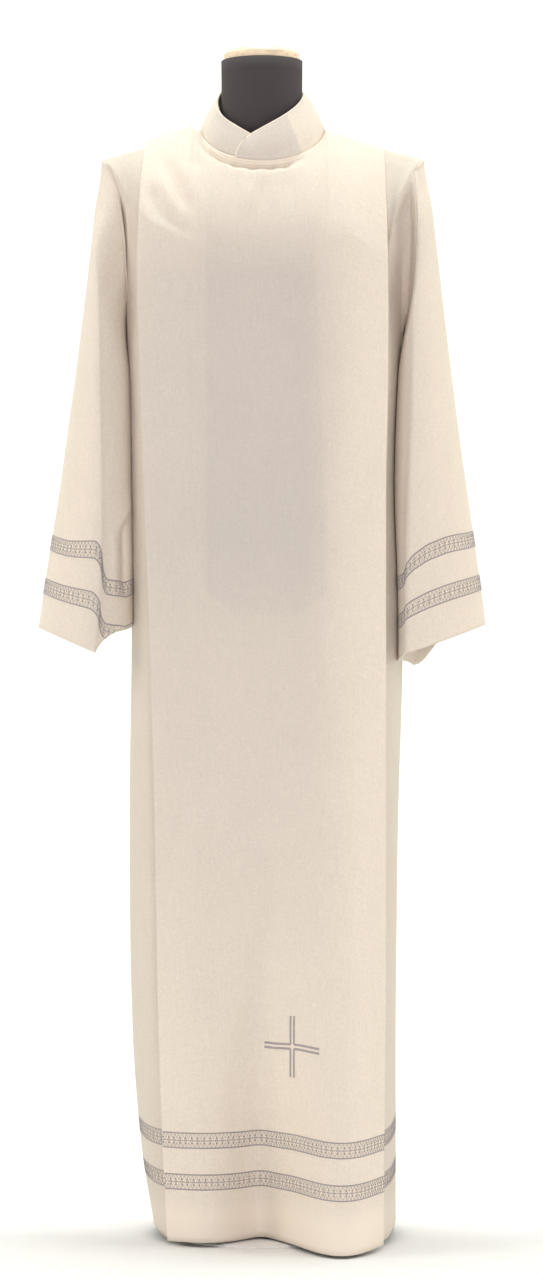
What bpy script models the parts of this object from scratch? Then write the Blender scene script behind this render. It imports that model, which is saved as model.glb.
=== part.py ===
"""Alb robe on a limbless dress form, in metres, +Z up, front towards -Y.

The origin is the middle of the stand's foot, on the floor. +X is the wearer's left.
Every cloth piece is a sheet of columns: each column starts on a seam at the top, curves over
the shoulder or chest, and hangs to the hem. Solidify gives the sheet its thickness.
"""
from math import cos, exp, pi, radians, sin, sqrt

import bmesh
import bpy
from mathutils import Vector

# Cloth
CLOTH = 0.0012
PLEAT_LAYER = 0.0025
PLEAT_DEPTH = 0.037
SEAM_HALF_GAP = 0.0007
SEAM_SLIT = 0.0007

# Neckline and shoulders
NECK_X = 0.083
NECK_FRONT = 0.085
NECK_BACK = 0.072
NECK_SIDE_Z = 1.478
NECK_FRONT_DROP = 0.052
NECK_BACK_RISE = 0.012
TIP_X = 0.2145
TIP_Z = 1.437
CHEST_Z = 1.27
SHORTEST_YOKE = 0.07
YOKE_POWER_NECK = 0.62
YOKE_POWER_TIP = 0.88
YOKE_TURN_X = (0.03, 0.10)
LAYERS_DROP_X = 0.100
SIDE_RISE_X = (0.003, 0.025)

# Flap over the wearer's right shoulder, which stands clear of the shoulder seam
FLAP_INNER_X = 0.0955
FLAP_NOTCH_X = 0.0885
FLAP_RISE = 0.0125
FLAP_BACK = 0.018

# Armholes and sleeves
ARMHOLE_DEPTH = 0.066
UNDERARM_X = 0.187
UNDERARM_Z = 1.205
TIP_SHARE = 0.42
SLEEVE_GAP = 0.0013
SLEEVE_CLEAR = 0.0032
SLEEVE_EASE = 0.07

# Collar
COLLAR_INSET = 0.0022
COLLAR_FRONT_INSET = 0.0020
COLLAR_BACK_INSET = 0.0005
COLLAR_BASE_LIFT = 0.0009
COLLAR_SHIFT_X = -0.0015
COLLAR_TOP_X = 0.0605
COLLAR_TOP_FRONT = 0.073
COLLAR_TOP_BACK = 0.064
COLLAR_V_Z = 1.4625
COLLAR_V_ANGLE = -12.0
COLLAR_LAP = 0.0015
COLLAR_OVER_END = -25.0
COLLAR_UNDER_END = 18.0
COLLAR_END_CURVE = 1.8
COLLAR_LAP_REACH = 30.0
COLLAR_LAP_FADE = 25.0
COLLAR_RISE_RATE = 0.00056
COLLAR_RISE_BEND = 0.0000008
COLLAR_RISE_END = 102.0
COLLAR_BACK_RISE = 0.008
COLLAR_BACK_GAP = 0.2
COLLAR_STEPS = 18
COLLAR_LEVELS = (0.0, 0.33, 0.66, 1.0)

HEM_Z = 0.0065
HEM_DROOP = 0.0020

# Cross-sections of the hanging body, chest to hem. "left" and "right" are the wearer's.
BODY_COLUMNS = ("z", "half_left", "half_right", "front", "back", "fold_left", "fold_right")
BODY_ROWS = (
    (1.48, 0.205, 0.205, 0.118, 0.105, 0.158, 0.150),
    (1.38, 0.203, 0.200, 0.124, 0.105, 0.162, 0.161),
    (1.27, 0.193, 0.190, 0.130, 0.108, 0.164, 0.165),
    (1.15, 0.182, 0.180, 0.132, 0.110, 0.164, 0.161),
    (1.00, 0.177, 0.177, 0.130, 0.110, 0.161, 0.156),
    (0.80, 0.186, 0.175, 0.127, 0.110, 0.161, 0.148),
    (0.55, 0.180, 0.178, 0.122, 0.112, 0.161, 0.141),
    (0.28, 0.177, 0.174, 0.117, 0.114, 0.160, 0.136),
    (0.12, 0.177, 0.162, 0.113, 0.114, 0.158, 0.130),
    (0.00, 0.177, 0.143, 0.110, 0.112, 0.157, 0.124),
)
PANEL_BOW_X = 0.205
PANEL_BOW_POWER = 2.6
PLAN_STEP = 0.001
SIDE_TUCK = 0.013
SIDE_ROUND_Y = 0.050

# Folds that open towards the hem: where, how wide, how far out, and where they begin.
FOLD_COLUMNS = ("x", "half_width", "out", "start_z", "power")
FRONT_FOLDS = (
    (0.105, 0.062, 0.105, 1.00, 2.1),
    (0.002, 0.036, -0.040, 0.80, 2.2),
    (-0.085, 0.042, 0.010, 0.90, 1.6),
)
BACK_FOLDS = (
    (-0.100, 0.048, 0.036, 1.00, 2.0),
    (-0.008, 0.040, -0.024, 0.85, 2.0),
    (0.085, 0.046, 0.030, 0.95, 1.8),
)

# Sleeve cross-sections; x is the distance from the middle plane.
SLEEVE_COLUMNS = ("z", "outer", "ridge_x", "ridge_y", "back_x", "back_y",
                  "front_power", "tuck_front", "tuck_back")
SLEEVE_ROWS = {
    "right": (
        (1.44, 0.2165, 0.2080, -0.060, 0.206, 0.058, 1.20, 0.000, 0.000),
        (1.40, 0.2215, 0.2115, -0.068, 0.208, 0.063, 1.25, 0.000, 0.000),
        (1.33, 0.2290, 0.2125, -0.072, 0.210, 0.066, 1.30, 0.001, 0.000),
        (1.18, 0.2470, 0.2125, -0.076, 0.214, 0.068, 1.30, 0.006, 0.006),
        (1.06, 0.2635, 0.2125, -0.079, 0.220, 0.068, 1.30, 0.012, 0.010),
        (0.98, 0.2747, 0.2125, -0.080, 0.226, 0.068, 1.30, 0.014, 0.012),
        (0.88, 0.2905, 0.2135, -0.082, 0.232, 0.068, 1.20, 0.016, 0.012),
        (0.78, 0.3050, 0.2200, -0.084, 0.238, 0.066, 1.15, 0.010, 0.012),
    ),
    "left": (
        (1.44, 0.2175, 0.2060, -0.060, 0.206, 0.058, 1.10, 0.000, 0.000),
        (1.40, 0.2235, 0.2040, -0.068, 0.207, 0.063, 1.10, 0.000, 0.000),
        (1.33, 0.2315, 0.2020, -0.072, 0.208, 0.066, 1.10, 0.000, 0.000),
        (1.18, 0.2490, 0.2010, -0.078, 0.211, 0.068, 1.10, 0.000, 0.004),
        (1.06, 0.2640, 0.1990, -0.082, 0.214, 0.068, 1.10, 0.000, 0.008),
        (0.98, 0.2755, 0.1975, -0.084, 0.216, 0.068, 1.10, 0.000, 0.009),
        (0.86, 0.2925, 0.1955, -0.086, 0.214, 0.068, 1.10, -0.002, 0.009),
        (0.75, 0.3060, 0.1945, -0.088, 0.204, 0.066, 1.10, -0.002, 0.006),
    ),
}
# Cuff edge heights at the four quarters of each sleeve
CUFFS = {
    "right": {"outer": 0.812, "front": 0.778, "inner": 0.812, "back": 0.800},
    "left": {"outer": 0.816, "front": 0.777, "inner": 0.767, "back": 0.761},
}

CUFF_FRONT_POWER = 2.6
CUFF_BACK_POWER = 4.0

# Limbless dress form: heights and half-sizes of its smooth torso and neck
TORSO_COLUMNS = ("z", "middle_x", "half_x", "front", "back")
TORSO_ROWS = (
    (1.570, -0.0015, 0.0545, 0.0560, 0.0540),
    (1.500, -0.0015, 0.0540, 0.0560, 0.0530),
    (1.476, -0.0010, 0.0580, 0.0550, 0.0520),
    (1.466, 0.0000, 0.0690, 0.0520, 0.0500),
    (1.459, 0.0000, 0.0940, 0.0460, 0.0460),
    (1.4530, 0.0000, 0.1280, 0.0410, 0.0380),
    (1.4460, 0.0000, 0.1600, 0.0390, 0.0350),
    (1.4383, 0.0000, 0.1860, 0.0390, 0.0360),
    (1.420, 0.0000, 0.1930, 0.0520, 0.0500),
    (1.380, 0.0000, 0.1900, 0.0780, 0.0720),
    (1.320, 0.0000, 0.1780, 0.1050, 0.0880),
    (1.250, 0.0000, 0.1640, 0.1140, 0.0920),
    (1.120, 0.0000, 0.1460, 0.1060, 0.0880),
    (1.030, 0.0000, 0.1400, 0.1000, 0.0860),
    (0.940, 0.0000, 0.1500, 0.1020, 0.0930),
    (0.880, 0.0000, 0.1500, 0.1000, 0.0940),
    (0.850, 0.0000, 0.1360, 0.0880, 0.0840),
    (0.840, 0.0000, 0.1080, 0.0700, 0.0680),
)
TORSO_SIDES = 28

# Turned parts, top to bottom, as (radius, height above the part's base)
CAP_PROFILE = ((0.0, 0.0170), (0.0306, 0.0160), (0.0460, 0.0140), (0.0510, 0.0090),
               (0.0510, 0.0), (0.0, 0.0))
POLE_PROFILE = ((0.0, 0.8173), (0.0125, 0.8173), (0.0125, 0.0), (0.0, 0.0))
FOOT_PROFILE = ((0.0, 0.0220), (0.0185, 0.0220), (0.0225, 0.0140), (0.0300, 0.0050),
                (0.1210, 0.0038), (0.1250, 0.0022), (0.1250, 0.0), (0.0, 0.0))
NECK_MIDDLE_X = -0.0015
FIT_GAP = 0.0003
TURN_SIDES = 32
MERGE_REACH = 0.00001

ARC_STEPS = (0.0, 0.14, 0.30, 0.48, 0.70, 1.0)
HANG_STEPS = (0.13, 0.28, 0.44, 0.58, 0.70, 0.80, 0.88, 0.95, 1.0)
NECK_TURNS = (0.0, 15.0, 30.0, 45.0, 60.0, 75.0, 90.0)
SLEEVE_STEPS = (0.0, 0.03, 0.08, 0.16, 0.28, 0.42, 0.58, 0.72, 0.84, 0.93, 1.0)
SLEEVE_SIDES = 28

IVORY = (0.86, 0.80, 0.71)
CHARCOAL = (0.062, 0.052, 0.055)
LIGHT_WOOD = (0.58, 0.42, 0.28)
PALE_METAL = (0.80, 0.79, 0.77)


def table_row(columns, rows, z):
    """The table's values at height z, joined by smooth cubic pieces."""
    last = len(rows) - 1
    index = 0
    while index < last - 1 and rows[index + 1][0] > z:
        index += 1
    before, upper = rows[max(index - 1, 0)], rows[index]
    lower, after = rows[index + 1], rows[min(index + 2, last)]
    height = lower[0] - upper[0]
    share = min(max((z - upper[0]) / height, 0.0), 1.0)
    values = {"z": z}
    for slot, name in enumerate(columns[1:], start=1):
        step = lower[slot] - upper[slot]
        start_slope = height * (lower[slot] - before[slot]) / (lower[0] - before[0])
        end_slope = height * (after[slot] - upper[slot]) / (after[0] - upper[0])
        bend = start_slope + end_slope - 2.0 * step
        turn = 3.0 * step - 2.0 * start_slope - end_slope
        values[name] = upper[slot] + share * (start_slope + share * (turn + share * bend))
    return values


def smooth(value, low, high):
    share = min(max((value - low) / (high - low), 0.0), 1.0)
    return share * share * (3.0 - 2.0 * share)


def body(z):
    return table_row(BODY_COLUMNS, BODY_ROWS, z)


def fold_at(z, side):
    """Distance of the front panel's pressed edge from the middle plane."""
    return body(z)["fold_left" if side > 0 else "fold_right"]


def half_at(z, side):
    return body(z)["half_left" if side > 0 else "half_right"]


def hem_folds(face, x, z):
    """How far the folds push the panel out at this place."""
    out = 0.0
    for row in FRONT_FOLDS if face < 0 else BACK_FOLDS:
        fold = dict(zip(FOLD_COLUMNS, row))
        grown = max((fold["start_z"] - z) / fold["start_z"], 0.0) ** fold["power"]
        away = (x - fold["x"]) / fold["half_width"]
        out += fold["out"] * grown * exp(-away * away)
    return out


def hem_height(plan):
    """The hem dips where the front swings out."""
    return HEM_Z - HEM_DROOP * smooth(-plan.y, 0.13, 0.20)


def panel_line(face, x, z):
    """Plan of the outer panel at height z. face is -1 for the front and 1 for the back."""
    depth = body(z)["front" if face < 0 else "back"]
    bow = (1.0 - (abs(x) / PANEL_BOW_X) ** PANEL_BOW_POWER) ** (1.0 / PANEL_BOW_POWER)
    return Vector((x, face * (depth * bow + hem_folds(face, x, z))))


def panel_plan(face, side, share, z, lift=0.0, out=0.0):
    """Panel point at a share of the way to its pressed edge, moved along normal and tangent."""
    x = side * share * fold_at(z, side)
    point = panel_line(face, x, z)
    beyond = panel_line(face, x + side * PLAN_STEP, z)
    tangent = (beyond - point).normalized()
    normal = Vector((tangent.y, -tangent.x))
    if normal.y * face < 0.0:
        normal = -normal
    return point + normal * lift + tangent * out


def shoulder_z(x):
    return NECK_SIDE_Z + (TIP_Z - NECK_SIDE_Z) * (abs(x) - NECK_X) / (TIP_X - NECK_X)


def top_edge(face, x):
    """Neckline inside NECK_X, shoulder seam outside it."""
    if abs(x) >= NECK_X:
        return Vector((x, face * SEAM_HALF_GAP, shoulder_z(x)))
    bend = sqrt(1.0 - (x / NECK_X) ** 2)
    depth = NECK_FRONT if face < 0 else NECK_BACK
    rise = -NECK_FRONT_DROP if face < 0 else NECK_BACK_RISE
    y = face * max(depth * bend, SEAM_HALF_GAP)
    return Vector((x, y, NECK_SIDE_Z + rise * bend))


def panel_top(face, side, share, lift, out):
    """Top of a panel column; the pleat's layers lie under the panel on the shoulder."""
    x = side * share * fold_at(TIP_Z, side)
    top = top_edge(face, x)
    top.z += lift * smooth(abs(x), NECK_X, LAYERS_DROP_X)
    top.x += side * out
    return top


def column(top, hang, flap=0.0):
    """Points from the top seam over the chest to the hem. hang(z) is the plan point at z.

    flap, from 0 to 1, lifts the top off the shoulder and carries it back over the seam.
    """
    low = min(CHEST_Z, top.z - SHORTEST_YOKE)
    chest = hang(low)
    power = YOKE_POWER_NECK + (YOKE_POWER_TIP - YOKE_POWER_NECK) * smooth(abs(top.x), *YOKE_TURN_X)
    points = []
    for step in ARC_STEPS:
        angle = 0.5 * pi * step
        across = sin(angle)
        drop = (1.0 - cos(angle)) ** power
        back = flap * flap * FLAP_BACK * (1.0 - across) ** 3
        points.append(Vector((top.x + (chest.x - top.x) * across,
                              top.y + (chest.y - top.y) * across + back,
                              top.z + (low - top.z) * drop + flap * FLAP_RISE * (1.0 - step))))
    hem_z = hem_height(hang(HEM_Z))
    for step in HANG_STEPS:
        z = low + (hem_z - low) * step
        plan = hang(z)
        points.append(Vector((plan.x, plan.y, z)))
    return points


def panel_column(face, side, share, lift=0.0, out=0.0, flap=False):
    top = panel_top(face, side, share, lift, out)
    lifted = smooth(abs(top.x), FLAP_NOTCH_X, FLAP_INNER_X) if flap else 0.0
    return column(top, lambda z: panel_plan(face, side, share, z, lift, out), lifted)


def turn_columns(face, side, share, lift, out, away, flap=False):
    """Three columns round a pressed fold, one layer deep. away is 1 outwards and -1 inwards."""
    radius = 0.5 * PLEAT_LAYER
    columns = []
    for angle in (45.0, 90.0, 135.0):
        depth = lift - radius * (1.0 - cos(radians(angle)))
        reach = out + away * radius * sin(radians(angle))
        columns.append(panel_column(face, side, share, depth, reach, flap))
    return columns


def inner_share(side):
    """Where the inner fold of the pleat lies, as a share of the panel's half width."""
    return 1.0 - PLEAT_DEPTH / fold_at(CHEST_Z, side)


def pleat_shares(side):
    inner = inner_share(side)
    return (inner, 0.5 * (1.0 + inner), 1.0)


def panel_columns(face):
    """Right return, right fold, the flat panel, left fold, left return."""
    half = {}
    for side in (-1, 1):
        flap = face < 0 and side < 0
        edge = fold_at(TIP_Z, side)
        shares = [NECK_X * sin(radians(turn)) / edge for turn in NECK_TURNS]
        flap_rise_x = 0.5 * (FLAP_NOTCH_X + FLAP_INNER_X)
        shares += [FLAP_NOTCH_X / edge, flap_rise_x / edge, FLAP_INNER_X / edge]
        shares += pleat_shares(side)
        outer = [panel_column(face, side, share, 0.0, 0.0, flap) for share in shares]
        under = [panel_column(face, side, share, -PLEAT_LAYER, 0.0, flap)
                 for share in reversed(pleat_shares(side))]
        half[side] = outer + turn_columns(face, side, 1.0, 0.0, 0.0, 1.0, flap) + under
    return half[-1][:0:-1] + half[1]


def armhole(face, side, turn):
    """Point on the armhole. turn runs from 0 at the shoulder tip to 1 at the underarm."""
    middle = 0.5 * (TIP_Z + UNDERARM_Z)
    half_height = 0.5 * (TIP_Z - UNDERARM_Z)
    angle = pi * turn
    z = middle + half_height * cos(angle)
    x = UNDERARM_X + (TIP_X - UNDERARM_X) * (z - UNDERARM_Z) / (TIP_Z - UNDERARM_Z)
    y = max(ARMHOLE_DEPTH * sin(angle), SEAM_HALF_GAP)
    return Vector((side * x, face * y, z))


def side_top(face, side, share):
    """Top of a side piece's column: shoulder seam to the tip, then down the armhole."""
    if share > TIP_SHARE:
        return armhole(face, side, (share - TIP_SHARE) / (1.0 - TIP_SHARE))
    edge = fold_at(TIP_Z, side)
    inner = inner_share(side) * edge
    x = inner + (TIP_X - inner) * share / TIP_SHARE
    top = top_edge(face, side * x)
    top.z -= 2.0 * PLEAT_LAYER * (1.0 - smooth(x - edge, *SIDE_RISE_X))
    return top


def side_plan(face, side, share, z):
    """Plan of a side piece, from the inner fold under the panel to the side seam."""
    half = half_at(z, side)
    inner = inner_share(side)
    start = panel_plan(face, side, inner, z, -2.0 * PLEAT_LAYER, -SEAM_SLIT)
    tuck = panel_plan(face, side, 1.0, z, -SIDE_TUCK)
    bend = Vector((side * half, face * SIDE_ROUND_Y))
    seam = Vector((side * half, face * SEAM_HALF_GAP))
    rest = 1.0 - share
    return (start * rest ** 3 + tuck * 3.0 * rest * rest * share
            + bend * 3.0 * rest * share * share + seam * share ** 3)


def side_columns(face, side):
    inner = inner_share(side)
    columns = [panel_column(face, side, inner, -PLEAT_LAYER, -SEAM_SLIT)]
    columns += turn_columns(face, side, inner, -PLEAT_LAYER, -SEAM_SLIT, -1.0)
    shares = [TIP_SHARE * step / 4 for step in range(4)]
    shares += [TIP_SHARE + (1.0 - TIP_SHARE) * step / 8 for step in range(9)]
    for share in shares:
        columns.append(column(side_top(face, side, share),
                              lambda z, share=share: side_plan(face, side, share, z)))
    return columns


def signed_power(value, power):
    return abs(value) ** power * (1.0 if value >= 0.0 else -1.0)


def sleeve_plan(name, side, angle, z):
    """Plan of the sleeve: outer edge at angle 0, front ridge at a quarter turn, inner at half."""
    row = table_row(SLEEVE_COLUMNS, SLEEVE_ROWS[name], z)
    front = sin(angle) >= 0.0
    outer = cos(angle) >= 0.0
    ridge_x = row["ridge_x"] if front else row["back_x"]
    ridge_y = row["ridge_y"] if front else -row["back_y"]
    end_x = row["outer"] if outer else half_at(z, side) + SLEEVE_CLEAR
    power = row["front_power"] if front and outer else 1.0
    tuck = 0.0 if outer else row["tuck_front" if front else "tuck_back"]
    x = ridge_x + (end_x - ridge_x) * abs(cos(angle)) ** power - tuck * abs(sin(2.0 * angle)) ** 3
    y = ridge_y * signed_power(sin(angle), power)
    return Vector((side * x, y))


def cuff_z(name, angle):
    cuff = CUFFS[name]
    across = cuff["outer"] if cos(angle) >= 0.0 else cuff["inner"]
    along = cuff["front"] if sin(angle) >= 0.0 else cuff["back"]
    power = CUFF_FRONT_POWER if sin(angle) >= 0.0 else CUFF_BACK_POWER
    return across + (along - across) * abs(sin(angle)) ** power


def sleeve_columns(name):
    """One column for each place round the armhole, from the seam down to the cuff."""
    side = 1 if name == "left" else -1
    columns = []
    for index in range(SLEEVE_SIDES):
        angle = 2.0 * pi * index / SLEEVE_SIDES
        face = -1 if angle <= pi else 1
        turn = angle / pi if angle <= pi else 2.0 - angle / pi
        start = armhole(face, side, turn)
        if index in (0, SLEEVE_SIDES // 2):
            start.y = 0.0
        start.x += side * SLEEVE_GAP
        end_z = cuff_z(name, angle)
        points = []
        for step in SLEEVE_STEPS:
            z = start.z + (end_z - start.z) * step
            ease = sin(0.5 * pi * min((start.z - z) / SLEEVE_EASE, 1.0))
            plan = sleeve_plan(name, side, angle, z)
            points.append(Vector((start.x + (plan.x - start.x) * ease,
                                  start.y + (plan.y - start.y) * ease, z)))
        columns.append(points)
    return columns


def collar_top_z(angle):
    """Top edge of the collar. angle is in degrees from the front, towards the wearer's left."""
    away = abs(angle - COLLAR_V_ANGLE)
    near = min(away, COLLAR_RISE_END)
    rise = COLLAR_RISE_RATE * near + COLLAR_RISE_BEND * near * near
    return COLLAR_V_Z + rise + COLLAR_BACK_RISE * smooth(away, 90.0, 175.0)


def collar_point(angle, rise, lap):
    """Point of the collar; rise runs from 0 on the neckline to 1 at the top edge."""
    turn = radians(angle)
    front = cos(turn) >= 0.0
    base_y = NECK_FRONT - COLLAR_FRONT_INSET if front else NECK_BACK - COLLAR_BACK_INSET
    top_y = COLLAR_TOP_FRONT if front else COLLAR_TOP_BACK
    dip = -NECK_FRONT_DROP if front else NECK_BACK_RISE
    base = Vector(((NECK_X - COLLAR_INSET) * sin(turn), -base_y * cos(turn),
                   NECK_SIDE_Z + dip * abs(cos(turn)) + COLLAR_BASE_LIFT))
    top = Vector((COLLAR_SHIFT_X + COLLAR_TOP_X * sin(turn), -top_y * cos(turn), collar_top_z(angle)))
    point = base.lerp(top, rise)
    away = Vector((sin(turn), -cos(turn), 0.0))
    return point + away * lap


def collar_end(name, level):
    """Angle of the collar end's front edge; the one on top has a curved edge."""
    if name == "right":
        return COLLAR_UNDER_END
    return COLLAR_OVER_END + (COLLAR_V_ANGLE - COLLAR_OVER_END) * level ** COLLAR_END_CURVE


def collar_lap(name, angle):
    """How far this end stands off the neckline where the two ends overlap."""
    if name == "left":
        return COLLAR_LAP * smooth(COLLAR_UNDER_END + COLLAR_LAP_REACH - angle, 0.0, COLLAR_LAP_FADE)
    return -COLLAR_LAP * smooth(angle - COLLAR_OVER_END + COLLAR_LAP_REACH, 0.0, COLLAR_LAP_FADE)


def collar_columns(name):
    """One end of the collar, from the centre back round to its front edge."""
    start = (180.0 - COLLAR_BACK_GAP) * (1 if name == "left" else -1)
    columns = []
    for index in range(COLLAR_STEPS + 1):
        points = []
        for level in COLLAR_LEVELS:
            angle = start + (collar_end(name, level) - start) * index / COLLAR_STEPS
            points.append(collar_point(angle, level, collar_lap(name, angle)))
        columns.append(points)
    return columns


def material(name, colour, roughness, metallic=0.0):
    made = bpy.data.materials.new(name)
    made.use_nodes = True
    shader = made.node_tree.nodes["Principled BSDF"]
    shader.inputs["Base Color"].default_value = (*colour, 1.0)
    shader.inputs["Roughness"].default_value = roughness
    shader.inputs["Metallic"].default_value = metallic
    made.diffuse_color = (*colour, 1.0)
    return made


def object_from(name, shape, collection, colour, roughness=0.8, metallic=0.0):
    mesh = bpy.data.meshes.new(name)
    bmesh.ops.recalc_face_normals(shape, faces=shape.faces)
    shape.to_mesh(mesh)
    shape.free()
    mesh.shade_smooth()
    made = bpy.data.objects.new(name, mesh)
    collection.objects.link(made)
    mesh.materials.append(material(name, colour, roughness, metallic))
    return made


def sheet(name, columns, collection, closed=False):
    """A cloth piece: the surface through the columns, given the cloth's thickness."""
    shape = bmesh.new()
    grid = [[shape.verts.new(point) for point in points] for points in columns]
    pairs = list(zip(grid, grid[1:]))
    if closed:
        pairs.append((grid[-1], grid[0]))
    for first, second in pairs:
        for row in range(len(first) - 1):
            shape.faces.new((first[row], second[row], second[row + 1], first[row + 1]))
    made = object_from(name, shape, collection, IVORY)
    solid = made.modifiers.new("Cloth", "SOLIDIFY")
    solid.thickness = CLOTH
    solid.offset = 0.0
    return made


def loft(name, rings, collection, colour, roughness):
    """A closed body through rings of equal count, capped at both ends."""
    shape = bmesh.new()
    loops = [[shape.verts.new(point) for point in ring] for ring in rings]
    for upper, lower in zip(loops, loops[1:]):
        for index in range(len(upper)):
            after = (index + 1) % len(upper)
            shape.faces.new((upper[index], upper[after], lower[after], lower[index]))
    shape.faces.new(loops[0])
    shape.faces.new(loops[-1])
    return object_from(name, shape, collection, colour, roughness)


def build_torso(collection):
    rings = []
    for values in TORSO_ROWS:
        row = dict(zip(TORSO_COLUMNS, values))
        ring = []
        for index in range(TORSO_SIDES):
            angle = 2.0 * pi * index / TORSO_SIDES
            depth = row["front"] if sin(angle) < 0.0 else row["back"]
            x = row["middle_x"] + row["half_x"] * cos(angle)
            ring.append(Vector((x, depth * sin(angle), row["z"])))
        rings.append(ring)
    loft("form_torso", rings, collection, CHARCOAL, 0.9)


def turned(name, profile, place, collection, colour, roughness, metallic=0.0):
    """A profile of (radius, z), top to bottom, turned round its own upright axis."""
    shape = bmesh.new()
    points = [shape.verts.new((radius, 0.0, z)) for radius, z in profile]
    for first, second in zip(points, points[1:]):
        shape.edges.new((first, second))
    mesh = bpy.data.meshes.new(name)
    shape.to_mesh(mesh)
    shape.free()
    made = bpy.data.objects.new(name, mesh)
    made.location = place
    collection.objects.link(made)
    mesh.materials.append(material(name, colour, roughness, metallic))
    screw = made.modifiers.new("Turn", "SCREW")
    screw.steps = TURN_SIDES
    screw.render_steps = TURN_SIDES
    screw.use_merge_vertices = True
    screw.merge_threshold = MERGE_REACH


def build_stand(collection):
    neck_top = TORSO_ROWS[0][0]
    hub_top = FOOT_PROFILE[0][1]
    turned("form_cap", CAP_PROFILE, (NECK_MIDDLE_X, 0.0, neck_top + FIT_GAP), collection, LIGHT_WOOD, 0.5)
    turned("form_pole", POLE_PROFILE, (0.0, 0.0, hub_top + FIT_GAP), collection, PALE_METAL, 0.35, 1.0)
    turned("form_base", FOOT_PROFILE, (0.0, 0.0, 0.0), collection, PALE_METAL, 0.5)


def build_cloth(collection):
    sheet("front_panel", panel_columns(-1), collection)
    sheet("back_panel", panel_columns(1), collection)
    for name, side in (("left", 1), ("right", -1)):
        sheet(f"side_front_{name}", side_columns(-1, side), collection)
        sheet(f"side_back_{name}", side_columns(1, side), collection)
        sheet(f"sleeve_{name}", sleeve_columns(name), collection, closed=True)
        sheet(f"collar_{name}", collar_columns(name), collection)


def main():
    for item in list(bpy.data.objects):
        bpy.data.objects.remove(item)
    collection = bpy.data.collections.new("alb_on_dress_form")
    bpy.context.scene.collection.children.link(collection)
    build_cloth(collection)
    build_torso(collection)
    build_stand(collection)


main()
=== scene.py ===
"""Looks of an alb on a limbless dress form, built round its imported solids.

Sizes are in metres, +Z is up, the front faces -Y and +X is the wearer's left.
Each cloth piece is a fine grid of columns, from the seam at its top to its lower edge, over the
same form as its solid, with its creases laid in and its thickness added by Solidify.
"""

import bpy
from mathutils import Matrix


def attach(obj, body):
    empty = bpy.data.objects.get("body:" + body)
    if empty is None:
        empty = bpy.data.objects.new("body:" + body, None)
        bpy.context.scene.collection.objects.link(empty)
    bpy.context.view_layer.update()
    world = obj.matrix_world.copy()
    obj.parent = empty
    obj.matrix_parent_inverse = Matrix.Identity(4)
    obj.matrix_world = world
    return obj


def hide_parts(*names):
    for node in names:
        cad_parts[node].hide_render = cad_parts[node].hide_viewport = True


bl_info = {
    "name": "Alb on a dress form",
    "version": (1, 0, 0),
    "blender": (4, 5, 0),
    "location": "View3D > Sidebar > Alb",
    "description": "Builds the cloth, embroidery, dress form and studio of an alb",
    "category": "Object",
}

from functools import lru_cache
from math import ceil, cos, exp, pi, radians, sin, sqrt

import bmesh
import bpy
import numpy as np
from bpy.props import FloatProperty, FloatVectorProperty, IntProperty, PointerProperty
from mathutils import Vector

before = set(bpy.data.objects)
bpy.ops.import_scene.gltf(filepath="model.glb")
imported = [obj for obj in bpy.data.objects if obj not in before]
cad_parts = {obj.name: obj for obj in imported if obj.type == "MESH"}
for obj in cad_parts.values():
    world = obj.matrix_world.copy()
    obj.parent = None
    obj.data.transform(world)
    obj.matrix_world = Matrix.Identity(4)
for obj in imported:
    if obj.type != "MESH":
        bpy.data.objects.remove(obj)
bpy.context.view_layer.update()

# Pleats and seams
PLEAT_LAYER = 0.0025
PLEAT_DEPTH = 0.037
SEAM_HALF_GAP = 0.0007
SEAM_SLIT = 0.0007
# The pleat's layers are pressed together where the shoulder seam holds them
SEAM_PRESS = 0.40

# Neckline and shoulders
NECK_X = 0.083
NECK_FRONT = 0.085
NECK_BACK = 0.072
NECK_SIDE_Z = 1.478
NECK_FRONT_DROP = 0.052
NECK_BACK_RISE = 0.012
TIP_X = 0.2145
TIP_Z = 1.437
CHEST_Z = 1.27
SHORTEST_YOKE = 0.07
YOKE_POWER_NECK = 0.62
YOKE_POWER_TIP = 0.88
YOKE_TURN_X = (0.03, 0.10)
LAYERS_DROP_X = 0.100
# The line below which the front hangs straight down: across, height, how sharply it breaks
CHEST_BREAK = ((-0.215, 1.270, 0.0), (-0.195, 1.350, 0.4), (-0.165, 1.368, 0.5), (-0.139, 1.342, 0.5),
               (-0.108, 1.328, 0.45), (-0.065, 1.300, 0.15), (-0.035, 1.270, 0.0),
               (0.040, 1.270, 0.0), (0.075, 1.310, 0.2), (0.110, 1.328, 0.45), (0.140, 1.304, 0.5),
               (0.164, 1.286, 0.5), (0.195, 1.284, 0.5), (0.215, 1.270, 0.0))
SIDE_RISE_X = (0.003, 0.025)

# Flap over the wearer's right shoulder
FLAP_INNER_X = 0.0955
FLAP_NOTCH_X = 0.0885
FLAP_RISE = 0.0125
FLAP_BACK = 0.018

# Armholes and sleeves
# Depth of the armhole by (face, side): face is -1 at the front, side -1 on the wearer's right
ARMHOLE_DEPTH = {(-1, -1): 0.050, (-1, 1): 0.062, (1, -1): 0.066, (1, 1): 0.066}
UNDERARM_X = 0.187
UNDERARM_Z = 1.205
TIP_SHARE = 0.42
# How far the armhole seam curves inwards from the straight line, at each height
ARMHOLE_BOW = {
    1: ((1.205, 0.0), (1.246, -0.005), (1.287, -0.004), (1.354, 0.0005), (1.39, 0.006),
        (1.42, 0.0105), (1.437, 0.0)),
    -1: ((1.205, 0.004), (1.246, 0.012), (1.28, 0.0155), (1.33, 0.0185), (1.365, 0.0175),
         (1.40, 0.0160), (1.42, 0.0095), (1.437, 0.0)),
}
SLEEVE_GAP = 0.0013
SLEEVE_CLEAR = 0.0032
SLEEVE_EASE = 0.07

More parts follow.
